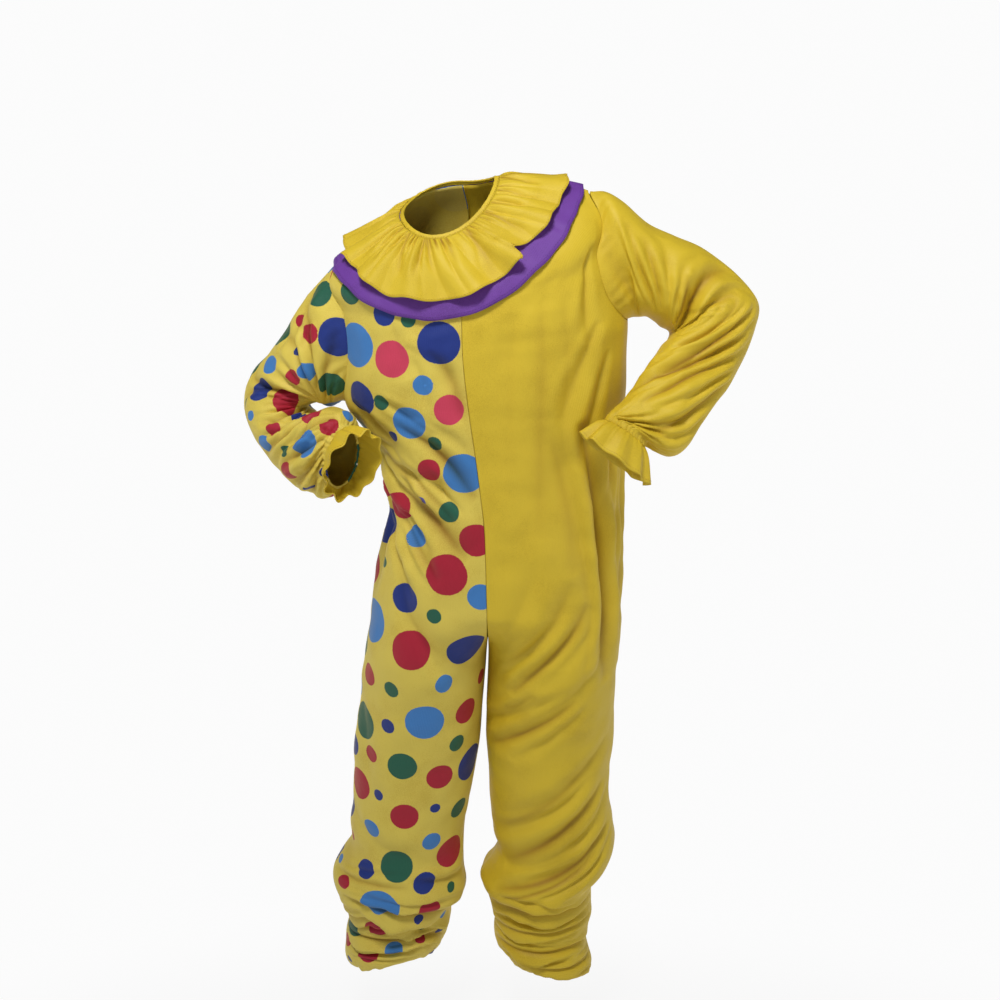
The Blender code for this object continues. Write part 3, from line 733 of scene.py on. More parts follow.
def addCuff(name, side, arm, cuffTable, cuff, material):
    axis = wristAxis(side, arm)
    seat = arm["rows"][-1]
    first = (0, *(np.array(seat[1:4]) + axis * seamGap), *seat[4:])
    table = {"columns": cuffTable["columns"], "rows": (first, *cuffTable["rows"])}
    cloth, columns = cuffCloth, cuffCloth["columns"]
    at = np.linspace(0, 2, cloth["rows"])
    points, inside = sectionRings(side, table, at, columns)
    normals = outward(surfaceNormals(points, True), points, inside)
    turn = np.arange(columns) / columns
    small = gathers(turn, cloth["gathers"], cuff["seed"])
    count, drift = cloth["drift"]
    wide = cuff["waves"] * turn + drift * np.sin(2 * math.pi * count * turn)
    count, start, size = cloth["uneven"]
    uneven = 1 + size * np.sin(2 * math.pi * (count * turn + start))
    wide = np.cos(2 * math.pi * wide) * uneven
    share = at[:, None] / 2
    height = (cloth["gatherHeight"] * (1 - share) * small[None, :]
              + (cloth["waveHeight"] + cloth["waveGrows"] * share) * wide[None, :])
    points, normals = raised(points, normals, height, inside)
    grid = {"points": points, "normals": normals, "wrapped": True,
            "thickness": rolledEdge(points, cloth["roll"], cloth["rollWidth"])}
    return addCloth(name, grid, material), points, normals


# The collar's two layers share these shapes. Waves are rows of how many go round, where they
# start and how large they are. What starts or fades is a share of the length from the neck.
collarCloth = {
    "below": 150, "levels": 76, "inside": 60, "belowOut": 5,
    "edge": ((9, 0.6, 1), (23, 0, 0.6), (4, 2, 0.5)), "drift": ((5, 0, 0.5), (11, 0, 0.4)),
    "strength": ((7, 1.1, 0.45), (17, 0, 0.4)), "uneven": ((3, 0.8, 0.35),),
    "waveDrift": ((2, 0, 0.9),), "pleat": 1.7, "pleatRound": 0.8, "rise": 0.7,
    "foldStart": (-0.15, 0.1), "foldEnd": (-0.15, 0.15), "foldTaper": 0.04, "foldPast": 0.1,
    # foldLine and the tick keys shape painted shade: dark lines along the folds and in the valleys
    # of the gathers by the neck.
    "foldLine": 4, "tickTop": 0.03, "tickFades": 0.04, "tickDark": 2.2, "tickLight": 0.1,
    "tuckStep": 0.004, "tuckBeside": 0.02, "rollWidth": 1.2,
}


def collarBase(columns, lengths):
    turn = np.arange(columns) / columns
    side = np.where(turn < 0.5, 1, -1)
    around = np.where(turn < 0.5, 2 * turn, 2 * (1 - turn))
    down = np.linspace(0, collarCloth["below"], collarCloth["levels"])
    level, place = np.meshgrid(down, around, indexing="ij")
    points = torsoPoints(side[None, :], level, place)
    inside = points.mean(axis=1, keepdims=True) - np.array([0, 0, collarCloth["inside"]])
    normals = outward(surfaceNormals(points, True), points, inside)
    run = runLengths(points, 0)
    lengths = np.broadcast_to(np.asarray(lengths, float).reshape(len(lengths), -1),
                              (len(lengths), columns))
    outPoints = np.empty((len(lengths), columns, 3))
    outNormals = np.empty_like(outPoints)
    for j in range(columns):
        for k in range(3):
            outPoints[:, j, k] = np.interp(lengths[:, j], run[:, j], points[:, j, k])
            outNormals[:, j, k] = np.interp(lengths[:, j], run[:, j], normals[:, j, k])
    return outPoints, unit(outNormals)


# Draws the free edge together at one place, so that it laps over itself in a flat pleat that
# opens towards the neck.
def tuckUnder(base, normals, out, share, turn, tuck):
    away = (turn[None, :] - tuck["turn"]) / tuck["width"]
    reach = fade(share, tuck["from"], tuck["to"])[:, None] * np.exp(-away * away)
    moved = turn[None, :] - tuck["over"] * tuck["width"] * away * reach

    def shifted(values):
        return np.stack([np.interp(moved[i], turn, values[i], period=1)
                         for i in range(len(share))])
    base = np.stack([shifted(base[..., k]) for k in range(3)], axis=-1)
    normals = unit(np.stack([shifted(normals[..., k]) for k in range(3)], axis=-1))
    return base, normals, shifted(out) - tuck["lift"] * away * reach


def addCollarLayer(name, layer, material):
    cloth, columns = collarCloth, layer["columns"]
    share = np.linspace(0, 1, layer["rows"])
    row = {key: values[:, None] for key, values in smoothRows(layer["profile"], share).items()}
    turn = np.arange(columns) / columns
    around = 2 * math.pi * turn
    reach = 1 + layer["unevenEdge"] * mixedWaves(around, cloth["edge"])
    if "tuck" in layer:
        tuck = layer["tuck"]
        beside = turn - tuck["turn"]
        step = fade(beside, -cloth["tuckStep"], cloth["tuckStep"])
        step = step * np.exp(-np.maximum(beside, 0) / tuck["fades"])
        proud = tuck["proud"] * np.exp(-(beside / cloth["tuckBeside"]) ** 2) * (beside < 0)
        reach = reach * (1 + proud - tuck["stepIn"] * step)
    base, normals = collarBase(columns, layer["length"] * share[:, None] * reach[None, :])
    bent = mixedWaves(around, cloth["drift"], layer["gathers"] * around)
    pleats = cloth["pleat"] * np.abs(np.cos(bent / 2)) ** cloth["pleatRound"] - 1
    pleats = pleats * mixedWaves(around, cloth["strength"], 1)
    ticks = gathers(turn, layer["ticks"], layer["seed"])
    drift = mixedWaves(around, cloth["waveDrift"], layer["waves"] * around)
    waves = mixedWaves(around, cloth["uneven"], 1) * np.sin(drift)
    out = (row["lift"] + row["gather"] * pleats[None, :] + row["tick"] * ticks[None, :]
           + row["wave"] * waves[None, :])
    folded = np.zeros(out.shape)
    for pleat in layer["folds"]:
        fold = dict(zip(collarFoldColumns, pleat))
        slant = turn[None, :] - fold["turn"] - fold["slant"] * (share[:, None] - 0.5)
        slant = (slant + 0.5) % 1 - 0.5
        starts, ends = (fade(share, *(fold[key] + edge for edge in cloth[limits]))
                        for key, limits in (("start", "foldStart"), ("end", "foldEnd")))
        valley = np.exp(-(slant / fold["width"]) ** 2)
        out = out - fold["sink"] * (starts * (1 - ends))[:, None] * valley
        # Painted shade: a dark line down each fold, strongest at the neck and fading towards its
        # end.
        taper = fade(share, 0, cloth["foldTaper"])
        taper = taper * np.clip(1 - share / (fold["end"] + cloth["foldPast"]), 0, 1)
        dark = fold["sink"] / layer["deepFold"] * taper[:, None] * valley**cloth["foldLine"]
        folded = np.maximum(folded, dark)
    if "tuck" in layer:
        base, normals, out = tuckUnder(base, normals, out, share, turn, layer["tuck"])
    least = layer["least"] + layer["leastRise"] * share[:, None] ** cloth["rise"]
    inside = base - cloth["belowOut"] * normals
    points, normals = raised(base, normals, np.maximum(out, least), inside)
    # Painted shade in the valleys of the gathers by the neck, joined with the painted shade along
    # the folds.
    crease = fade(share, 0, cloth["tickTop"])
    crease = crease * (1 - fade(share, cloth["tickFades"], layer["tickEnd"]))
    lines = np.clip(-cloth["tickDark"] * ticks - cloth["tickLight"], 0, 1)
    crease = np.maximum(crease[:, None] * lines[None, :], np.minimum(folded, 1))
    grid = {"points": points, "normals": normals, "wrapped": True, "crease": crease,
            "thickness": rolledEdge(points, layer["roll"], cloth["rollWidth"])}
    return addCloth(name, grid, material), points, normals


def addBinding(name, material):
    columns, profile = binding["columns"], binding["profile"]
    base, normals = collarBase(columns, np.array([0.0, binding["ownLength"]]))
    rise = unit(base[0] - base[1])
    turn = np.arange(columns) / columns
    wobble = binding["wobble"] * gathers(turn, binding["gathers"], binding["seed"])
    row = smoothRows(profile, np.linspace(0, profile["rows"][-1][0], binding["rows"]))
    seat = base[0] + normals[0] * (binding["offset"] + wobble)[:, None]
    points = seat[None] + rise[None] * (seamGap + row["height"])[:, None, None]
    grid = {"points": points, "normals": np.broadcast_to(normals[0], points.shape),
            "thickness": row["thickness"][:, None], "wrapped": True}
    low = int(np.argmin(np.abs(row["height"] - stitching["bindingFromEdge"])))
    outer = row["thickness"][low] / 2 + stitching["raise"]
    return addCloth(name, grid, material), points[low] + normals[0] * outer


spotHues = {"green": "#1E5A46", "navy": "#152E7C", "blue": "#3C7ABC", "crimson": "#A51530",
            "rose": "#C63A56", "violet": "#55509C"}
frontSpots = (
    (0.28, 60, 20, "green"), (0.18, 98, 17, "navy"), (0.115, 108, 11, "green"),
    (0.045, 166, 31, "navy"), (0.30, 160, 33, "blue"), (0.17, 190, 27, "rose"),
    (0.09, 245, 15, "blue"), (0.04, 286, 22, "rose"), (0.30, 246, 26, "navy"),
    (0.225, 260, 12, "green"), (0.16, 300, 26, "blue"), (0.24, 322, 9, "navy"),
    (0.105, 340, 12, "green"), (0.145, 384, 18, "crimson"), (0.035, 390, 31, "blue"),
    (0.195, 435, 9, "violet"), (0.32, 450, 22, "crimson"), (0.10, 452, 16, "green"),
    (0.23, 496, 18, "blue"), (0.37, 556, 9, "green"), (0.02, 494, 26, "crimson"),
    (0.10, 552, 33, "crimson"), (0.235, 602, 24, "navy"), (0.40, 660, 36, "blue"),
    (0.01, 586, 21, "blue"), (0.13, 622, 12, "green"), (0.065, 686, 33, "navy"),
    (0.225, 685, 32, "crimson"), (0.395, 753, 19, "crimson"), (0.295, 760, 14, "green"),
    (0.15, 747, 16, "blue"), (0.035, 766, 13, "crimson"), (0.09, 815, 23, "crimson"),
    (0.415, 846, 32, "green"), (0.31, 832, 13, "navy"), (0.205, 817, 32, "blue"),
    (0.13, 870, 15, "green"), (0.075, 928, 33, "navy"), (0.37, 897, 15, "crimson"),
    (0.275, 905, 25, "green"), (0.18, 930, 23, "crimson"), (0.42, 968, 28, "crimson"),
    (0.34, 970, 10, "navy"), (0.26, 1003, 24, "crimson"), (0.18, 992, 9, "navy"),
    (0.095, 1012, 19, "green"), (0.35, 1038, 17, "blue"), (0.175, 1060, 17, "blue"),
    (0.105, 1097, 29, "crimson"), (0.45, 1083, 9, "crimson"), (0.475, 1138, 9, "blue"),
    (0.27, 1104, 28, "green"), (0.355, 1120, 17, "navy"), (0.405, 1155, 16, "crimson"),
    (0.18, 1139, 21, "navy"), (0.095, 1165, 10, "green"), (0.285, 1170, 36, "blue"),
    (0.17, 1190, 21, "crimson"), (0.20, 1214, 9, "navy"), (0.09, 1243, 9, "blue"),
    (0.315, 1238, 24, "crimson"), (0.43, 1257, 26, "green"), (0.165, 1250, 11, "green"),
    (0.085, 1283, 9, "navy"), (0.165, 1279, 11, "crimson"), (0.33, 1303, 20, "crimson"),
    (0.25, 1285, 16, "blue"), (0.08, 1332, 11, "navy"), (0.41, 1320, 9, "navy"),
)
armSpots = (
    (0.50, 0.1, 14, "blue"), (0.40, 0.5, 21, "green"), (0.40, 2.0, 10, "crimson"),
    (0.315, 1.3, 16, "crimson"), (0.26, 0.3, 29, "navy"), (0.33, 2.55, 9, "navy"),
    (0.39, 4.0, 15, "blue"), (0.27, 3.3, 13, "crimson"), (0.245, 2.4, 15, "blue"),
    (0.14, 0.8, 21, "green"), (0.35, 5.2, 19, "navy"), (0.205, 5.2, 20, "crimson"),
    (0.145, 7.2, 13, "navy"), (0.375, 6.8, 8, "blue"), (0.29, 7.9, 12, "crimson"),
    (0.11, 12.6, 15, "crimson"), (0.22, 11.1, 22, "blue"), (0.385, 8.5, 14, "blue"),
    (0.31, 9.8, 9, "green"), (0.37, 10.5, 15, "crimson"), (0.39, 11.9, 7, "navy"),
    (0.53, 12.7, 11, "crimson"),
)
scattered = {"gap": 11.0, "sizes": (32, 30, 26, 23, 18, 16, 13, 10, 9), "uneven": (0.94, 1.06),
             "names": ("crimson", "navy", "blue", "green")}


def linear(hexColour):
    channels = [int(hexColour[i:i + 2], 16) / 255 for i in (1, 3, 5)]
    return tuple(c / 12.92 if c <= 0.04045 else ((c + 0.055) / 1.055) ** 2.4 for c in channels)


def placedSpots(rows, placeAt):
    return [{"centre": placeAt(around, along), "radius": radius, "name": name,
             "colour": linear(spotHues[name])} for around, along, radius, name in rows]


# Fills an area with more spots, the large ones first, all well clear of each other.
def scatterSpots(spots, placeAt, area, seed, tries):
    chance = np.random.default_rng(seed)
    spots = list(spots)
    for size in scattered["sizes"]:
        for _ in range(tries):
            where = placeAt(chance.uniform(*area[0]), chance.uniform(*area[1]))
            radius = size * chance.uniform(*scattered["uneven"])
            away = [np.linalg.norm(where - spot["centre"]) - spot["radius"] for spot in spots]
            if away and min(away) < radius + scattered["gap"]:
                continue
            near = [spots[i]["name"] for i in np.argsort(away)[:2]]
            name = chance.choice([name for name in scattered["names"] if name not in near])
            spots.append({"centre": where, "radius": radius, "name": name,
                          "colour": linear(spotHues[name])})
    return spots


def bodySpotPlace(around, along):
    return clothPlace(-1, np.array([along], float), np.array([around], float))[0]


def armSpotPlace(share, station):
    columns = 200
    keys, _ = armSections(-1, rightArm, columns)
    return smoothThrough(keys, np.array([station], float))[0, int(share * columns) % columns]


rightFolds = (
    (0.07, 180, 0.01, 306, 8, 18, 8, 0.3, 0.2),
    (0.13, 165, 0.03, 262, 6, 12, 4, 0.2, -0.3),
    (0.21, 301, 0.01, 432, 10, 21, 14, 0.3, 0.35),
    (0.33, 410, 0.04, 526, 8, 22, 12, 0.2, 0.3),
    (0.29, 372, 0.08, 470, 6, 10, 8, 0.1, 0.4),
    (0.33, 462, 0.12, 566, 4, 10, 8, 0.0, 0.4),
    (0.37, 496, 0.20, 600, 2, 9, 7, -0.2, 0.4),
    (0.24, 250, 0.10, 330, 5, 10, 6, 0.1, 0.3),
    (0.40, 330, 0.22, 420, 6, 14, 8, 0.0, 0.3),
    (0.28, 541, 0.05, 740, -20, 22, 6, -0.2, 0.2),
    (0.20, 640, 0.08, 790, -10, 13, 4, 0.0, 0.0),
    (0.45, 372, 0.30, 470, 0, 26, -10, 0.0, 0.0),
    (0.46, 400, 0.33, 520, -6, 13, 8, -0.4, 0.2),
    (0.44, 430, 0.40, 610, 8, 14, 6, -0.3, 0.0),
    (0.36, 250, 0.25, 345, 4, 13, 6, 0.0, 0.2),
    (0.17, 100, 0.12, 230, -4, 15, 4, 0.3, 0.0),
    (0.56, 330, 0.95, 430, 12, 24, 12, 0.0, 0.3),
    (0.58, 440, 0.92, 520, 10, 22, 12, 0.0, 0.3),
    (0.62, 240, 0.90, 300, 10, 20, 8, 0.0, 0.2),
    (0.70, 120, 0.78, 330, 10, 22, 6, 0.2, 0.0),
    (0.64, 640, 0.94, 760, -15, 26, 12, 0.0, 0.2),
    (0.60, 760, 0.86, 860, -10, 22, 8, 0.0, 0.0),
    (0.44, 800, 0.36, 1010, 8, 20, 4, 0.0, 0.0),
    (0.45, 1020, 0.14, 1110, -10, 20, 5, 0.0, 0.3),
    (0.58, 980, 0.90, 1110, -12, 22, 9, 0.0, 0.3),
    (0.40, 1176, 0.04, 1240, 8, 13, 13, 0.0, 0.5),
    (0.60, 1176, 0.96, 1236, 8, 13, 13, 0.0, 0.5),
    (0.34, 1168, 0.20, 1262, 0, 11, -7, 0.0, 0.0),
    (0.47, 1150, 0.22, 1142, 5, 9, 8, 0.0, 0.5),
    (0.22, 1128, 0.03, 1156, -4, 9, 7, 0.0, 0.5),
    (0.47, 1222, 0.28, 1212, -4, 8, 8, 0.0, 0.5),
    (0.465, 1266, 0.06, 1282, 5, 9, 12, 0.1, 0.7),
    (0.43, 1290, 0.15, 1302, -4, 8, 9, 0.0, 0.6),
    (0.24, 1262, 0.03, 1306, 4, 8, 9, 0.0, 0.5),
    (0.55, 1268, 0.95, 1286, 5, 9, 9, 0.0, 0.6),
    (0.60, 1215, 0.80, 1200, 4, 9, 7, 0.0, 0.5),
    (0.70, 1140, 0.97, 1160, -5, 10, 7, 0.0, 0.5),
)
leftFolds = (
    (0.10, 125, 0.05, 430, 3, 19, 5, 0.0, 0.0),
    (0.16, 120, 0.11, 500, 3, 20, 6, 0.2, 0.0),
    (0.22, 120, 0.18, 460, 4, 18, 5, 0.1, 0.0),
    (0.33, 78, 0.25, 235, 6, 11, 6, 0.0, 0.2),
    (0.30, 205, 0.17, 330, 5, 12, 6, -0.3, 0.2),
    (0.32, 255, 0.22, 400, 4, 12, 6, -0.3, 0.2),
    (0.23, 330, 0.37, 760, -12, 20, 26, 0.0, 0.25),
    (0.14, 330, 0.20, 560, -8, 22, 6, 0.0, 0.0),
    (0.38, 330, 0.31, 500, 4, 13, 6, -0.2, 0.2),
    (0.46, 330, 0.44, 640, 6, 15, 8, -0.2, 0.0),
    (0.10, 775, 0.24, 610, 8, 15, 9, -0.2, 0.3),
    (0.07, 725, 0.19, 570, 6, 14, 6, -0.2, 0.2),
    (0.03, 660, 0.11, 520, 5, 14, 4, -0.2, 0.0),
    (0.09, 812, 0.16, 766, 2, 9, 6, 0.0, 0.3),
    (0.27, 777, 0.04, 899, -8, 15, 9, 0.1, 0.3),
    (0.38, 700, 0.06, 860, -6, 14, 5, 0.0, 0.2),
    (0.41, 870, 0.06, 1060, -14, 18, 7, 0.0, 0.3),
    (0.41, 957, 0.07, 1118, -14, 17, 10, 0.0, 0.35),
    (0.43, 1046, 0.10, 1162, -10, 14, 12, 0.0, 0.4),
    (0.37, 1085, 0.13, 1181, -4, 10, 9, 0.0, 0.4),
    (0.56, 950, 0.93, 1110, 14, 22, 12, 0.0, 0.3),
    (0.58, 1050, 0.92, 1170, 10, 18, 12, 0.0, 0.4),
    (0.70, 300, 0.62, 600, 10, 24, 14, 0.0, 0.2),
    (0.90, 180, 0.84, 420, -8, 22, 10, 0.0, 0.0),
    (0.62, 200, 0.90, 300, 10, 20, 8, 0.0, 0.2),
    (0.56, 420, 0.90, 520, 10, 22, 10, 0.0, 0.3),
    (0.66, 650, 0.94, 770, -15, 26, 12, 0.0, 0.2),
    (0.46, 1200, 0.04, 1208, 4, 11, 10, 0.0, 0.5),
    (0.54, 1200, 0.96, 1208, -4, 11, 10, 0.0, 0.5),
    (0.45, 1236, 0.04, 1262, 4, 9, 9, 0.0, 0.6),
    (0.30, 1222, 0.05, 1240, -3, 8, 6, 0.0, 0.5),
    (0.475, 1286, 0.03, 1300, 4, 9, 9, 0.0, 0.6),
    (0.49, 1326, 0.04, 1336, 3, 9, 8, 0.0, 0.6),
    (0.36, 1306, 0.12, 1318, -3, 7, 6, 0.0, 0.5),
    (0.55, 1240, 0.95, 1262, 4, 9, 9, 0.0, 0.6),
    (0.54, 1292, 0.96, 1302, 4, 9, 9, 0.0, 0.6),
    (0.62, 1330, 0.92, 1336, 3, 8, 7, 0.0, 0.5),
)
rightArmFolds = (
    (0.10, 3.1, 0.46, 4.9, 20, 9, 15, 0.2, 0.5),
    (0.13, 2.75, 0.42, 1.4, -15, 9, 10, 0.2, 0.3),
    (0.14, 2.8, 0.48, 3.0, -9, 8, 8, 0.0, 0.3),
    (0.11, 2.4, 0.29, 0.3, -12, 9, 9, 0.0, 0.2),
    (0.05, 6.0, 0.33, 7.4, 5, 7, 9, -0.3, 0.4),
    (0.06, 7.2, 0.36, 8.2, 5, 7, 8, -0.3, 0.4),
    (0.09, 9.1, 0.45, 8.8, 0, 9, 9, 0.0, 0.4),
    (0.10, 9.6, 0.33, 9.9, 8, 8, 8, -0.2, 0.3),
    (0.05, 13.1, 0.28, 9.5, -14, 8, 9, 0.2, 0.3),
    (0.16, 13.5, 0.38, 9.9, -16, 8, 10, 0.2, 0.3),
    (0.23, 13.9, 0.44, 10.6, -12, 8, 9, 0.2, 0.3),
    (0.32, 13.6, 0.50, 11.2, -8, 8, 8, 0.0, 0.2),
    (0.33, 3.0, 0.45, 0.7, 4, 11, 6, 0.0, 0.0),
    (0.30, 4.6, 0.47, 6.6, -6, 12, 7, 0.0, 0.0),
    (0.52, 6.0, 0.86, 4.6, 6, 12, 10, 0.0, 0.3),
    (0.54, 4.0, 0.88, 3.2, 6, 12, 8, 0.0, 0.3),
    (0.60, 8.0, 0.90, 11.0, 8, 13, 9, 0.0, 0.3),
    (0.70, 6.4, 0.96, 8.6, 6, 11, 9, 0.0, 0.3),
)
leftArmFolds = (
    (0.08, 6.7, 0.45, 5.8, -24, 9, 17, 0.0, 0.6),
    (0.12, 5.7, 0.31, 4.7, -3, 7, 10, -0.3, 0.4),
    (0.10, 6.1, 0.27, 5.0, 2, 6, 8, -0.3, 0.4),
    (0.16, 5.9, 0.38, 6.4, 3, 8, 7, 0.0, 0.3),
    (0.35, 6.6, 0.13, 9.4, 0, 9, 8, 0.0, 0.3),
    (0.41, 7.2, 0.07, 11.8, 3, 10, 12, 0.0, 0.4),
    (0.40, 8.4, -0.03, 13.4, 8, 11, 14, 0.1, 0.4),
    (0.38, 9.3, 0.10, 13.7, 12, 9, 11, 0.1, 0.4),
    (0.44, 10.0, 0.24, 14.8, 8, 10, 9, 0.1, 0.3),
    (0.12, 16.5, 0.33, 12.5, -8, 8, 8, 0.0, 0.3),
    (0.12, 16.3, 0.34, 13.9, -6, 7, 8, 0.0, 0.3),
    (0.06, 2.0, 0.40, 0.4, -14, 11, 5.5, 0.2, 0.3),
    (0.14, 3.4, 0.38, 2.0, -10, 10, 6, 0.2, 0.3),
    (0.14, 3.9, 0.37, 2.7, -3, 8, 7, 0.2, 0.3),
    (0.23, 3.9, 0.41, 3.4, 0, 8, 5, 0.2, 0.2),
    (0.14, 1.0, 0.29, 0.3, -2, 8, 3, -0.3, 0.3),
    (0.12, 1.5, 0.26, 1.0, -2, 8, 3, -0.3, 0.3),
    (0.92, 6.6, 0.66, 5.6, 0, 11, 11, -0.3, 0.3),
    (0.90, 3.8, 0.60, 2.6, 4, 12, 10, 0.0, 0.3),
    (0.58, 8.4, 0.88, 13.0, 8, 14, 11, 0.0, 0.3),
    (0.54, 11.0, 0.76, 14.6, 6, 11, 10, 0.0, 0.3),
)
rightBody = {"folds": rightFolds, "seed": 11}
leftBody = {"folds": leftFolds, "seed": 23}
spottedSleeve = {"folds": rightArmFolds, "seed": 31, "gathers": (24, 33, 41)}
plainSleeve = {"folds": leftArmFolds, "seed": 37, "gathers": (22, 31, 38)}
rightRuffle = {"waves": 10, "seed": 41}
leftRuffle = {"waves": 9, "seed": 43}

collarColumns = ("share", "lift", "gather", "tick", "wave")
collarFoldColumns = ("turn", "slant", "start", "end", "width", "sink")
# deepFold is how deep a fold sinks for its painted shade to be full.
ruffle = {
    "length": 96.0, "columns": 640, "rows": 34, "gathers": 40, "ticks": (83, 97, 71),
    "tickEnd": 0.3, "waves": 14, "unevenEdge": 0.022, "least": 2.8, "leastRise": 5.4,
    "roll": 0.9, "seed": 51, "deepFold": 7.0,
    "profile": {"columns": collarColumns,
                "rows": ((0.00, 3.4, 0.1, 0.1, 0.0), (0.06, 5.6, 1.4, 1.9, 0.1),
                         (0.16, 8.0, 2.6, 2.4, 0.4), (0.30, 9.6, 2.6, 1.2, 1.0),
                         (0.50, 11.2, 2.0, 0.4, 2.8), (0.75, 13.0, 1.3, 0.0, 5.0),
                         (1.00, 15.0, 1.0, 0.0, 7.0))},
    "tuck": {"turn": 0.084, "width": 0.017, "over": 2.1, "lift": 9.0, "from": 0.35, "to": 0.8,
             "stepIn": 0.24, "fades": 0.036, "proud": 0.05},
    "folds": ((0.925, 0.045, 0.1, 0.6, 0.007, 6.0), (0.958, -0.025, 0.1, 0.6, 0.006, 5.5),
              (0.058, -0.035, 0.1, 0.85, 0.008, 5.0), (0.125, -0.015, 0.05, 0.8, 0.007, 5.0),
              (0.225, -0.04, 0.0, 0.55, 0.007, 6.0), (0.87, 0.02, 0.1, 0.7, 0.008, 5.0),
              (0.985, 0.01, 0.05, 0.5, 0.006, 5.5), (0.018, -0.01, 0.05, 0.45, 0.006, 5.0),
              (0.895, -0.01, 0.0, 0.4, 0.005, 4.5), (0.165, 0.01, 0.0, 0.5, 0.006, 5.0),
              (0.19, -0.02, 0.0, 0.4, 0.006, 4.5),
              (0.25, 0.0, 0.0, 0.9, 0.008, 4.0), (0.31, 0.01, 0.0, 0.8, 0.006, 3.0),
              (0.84, 0.01, 0.1, 0.85, 0.008, 3.0), (0.45, 0.01, 0.1, 0.8, 0.008, 3.5),
              (0.58, -0.01, 0.1, 0.8, 0.008, 3.5), (0.70, 0.01, 0.1, 0.8, 0.008, 3.0)),
}
underlayer = {
    "length": 122.0, "columns": 300, "rows": 26, "gathers": 20, "ticks": (45, 57), "tickEnd": 0.1,
    "waves": 14, "unevenEdge": 0.009, "least": 1.7, "leastRise": 0.0, "roll": 0.6, "seed": 61,
    "deepFold": 9.0,
    "profile": {"columns": collarColumns,
                "rows": ((0.00, 1.8, 0.0, 0.0, 0.0), (0.25, 3.4, 0.0, 0.0, 0.2),
                         (0.50, 4.4, 0.1, 0.1, 0.5), (0.75, 5.2, 0.3, 0.25, 0.9),
                         (1.00, 6.0, 0.4, 0.2, 1.4))},
    "folds": ((0.90, 0.03, 0.7, 1.0, 0.006, 1.2), (0.97, -0.03, 0.7, 1.0, 0.006, 1.2),
              (0.06, 0.03, 0.7, 1.0, 0.006, 1.2), (0.16, -0.03, 0.7, 1.0, 0.006, 1.2)),
}
binding = {"columns": 240, "rows": 16, "offset": 1.5, "ownLength": 4.0, "wobble": 0.35,
           "gathers": (31, 47), "seed": 5,
           "profile": {"columns": ("share", "height", "thickness"),
                       "rows": ((0.0, 0.2, 2.0), (0.12, 0.7, 2.9), (0.25, 1.6, 2.5),
                                (0.6, 4.2, 2.3), (0.85, 5.9, 2.5), (0.95, 6.6, 2.6),
                                (1.0, 7.0, 1.7))}}


# Rows of short thread stitches: on edges that are turned and sewn.
stitching = {"spacing": 4.2, "length": 3.0, "thickness": 0.75, "uneven": 0.2, "seed": 3,
             "fromEdge": 3.2, "raise": 0.25, "ankleFromHem": 30.0, "bindingFromEdge": 1.6}


# given: what goes into a node's first inputs, in order; the rest is named.
def addNode(tree, kind, settings=None, given=(), **named):
    node = tree.nodes.new(kind)
    for key, value in (settings or {}).items():
        setattr(node, key, value)
    for key, value in (*enumerate(given), *named.items()):
        socket = node.inputs[key.replace("_", " ") if isinstance(key, str) else key]
        if isinstance(value, bpy.types.NodeSocket):
            tree.links.new(value, socket)
        else:
            socket.default_value = value
    return node


def stitchTree():
    tree = bpy.data.node_groups.new("stitch row", "GeometryNodeTree")
    sockets = {}
    for label, kind in (("Path", "Geometry"), ("Spacing", "Float"), ("Length", "Float"),
                        ("Thickness", "Float"), ("Uneven", "Float"), ("Seed", "Int"),
                        ("Thread", "Material")):
        socket = tree.interface.new_socket(label, in_out="INPUT",
                                           socket_type=f"NodeSocket{kind}")
        sockets[label] = socket.identifier
    tree.interface.new_socket("Stitches", in_out="OUTPUT", socket_type="NodeSocketGeometry")
    inputs = addNode(tree, "NodeGroupInput").outputs
    curve = addNode(tree, "GeometryNodeMeshToCurve", Mesh=inputs["Path"]).outputs["Curve"]
    spaced = addNode(tree, "GeometryNodeResampleCurve", {"mode": "LENGTH"}, Curve=curve,
                     Length=inputs["Spacing"]).outputs["Curve"]
    tangent = addNode(tree, "GeometryNodeInputTangent").outputs["Tangent"]
    turned = addNode(tree, "FunctionNodeAlignRotationToVector", {"axis": "X"}, Vector=tangent)
    least = addNode(tree, "ShaderNodeMath", {"operation": "SUBTRACT"}, (1.0, inputs["Uneven"]))
    change = addNode(tree, "FunctionNodeRandomValue", {"data_type": "FLOAT"}, Seed=inputs["Seed"])
    tree.links.new(least.outputs[0], change.inputs[2])
    long = addNode(tree, "ShaderNodeMath", {"operation": "MULTIPLY"},
                   (inputs["Length"], change.outputs[1]))
    size = addNode(tree, "ShaderNodeCombineXYZ", X=long.outputs[0], Y=inputs["Thickness"],
                   Z=inputs["Thickness"]).outputs["Vector"]
    stitch = addNode(tree, "GeometryNodeMeshIcoSphere", Radius=0.5, Subdivisions=1)
    placed = addNode(tree, "GeometryNodeInstanceOnPoints", Points=spaced,
                     Instance=stitch.outputs["Mesh"], Rotation=turned.outputs["Rotation"],
                     Scale=size)
    real = addNode(tree, "GeometryNodeRealizeInstances", Geometry=placed.outputs["Instances"])
    thread = addNode(tree, "GeometryNodeSetMaterial", Geometry=real.outputs["Geometry"],
                     Material=inputs["Thread"])
    addNode(tree, "NodeGroupOutput", Stitches=thread.outputs["Geometry"])
    return tree, sockets


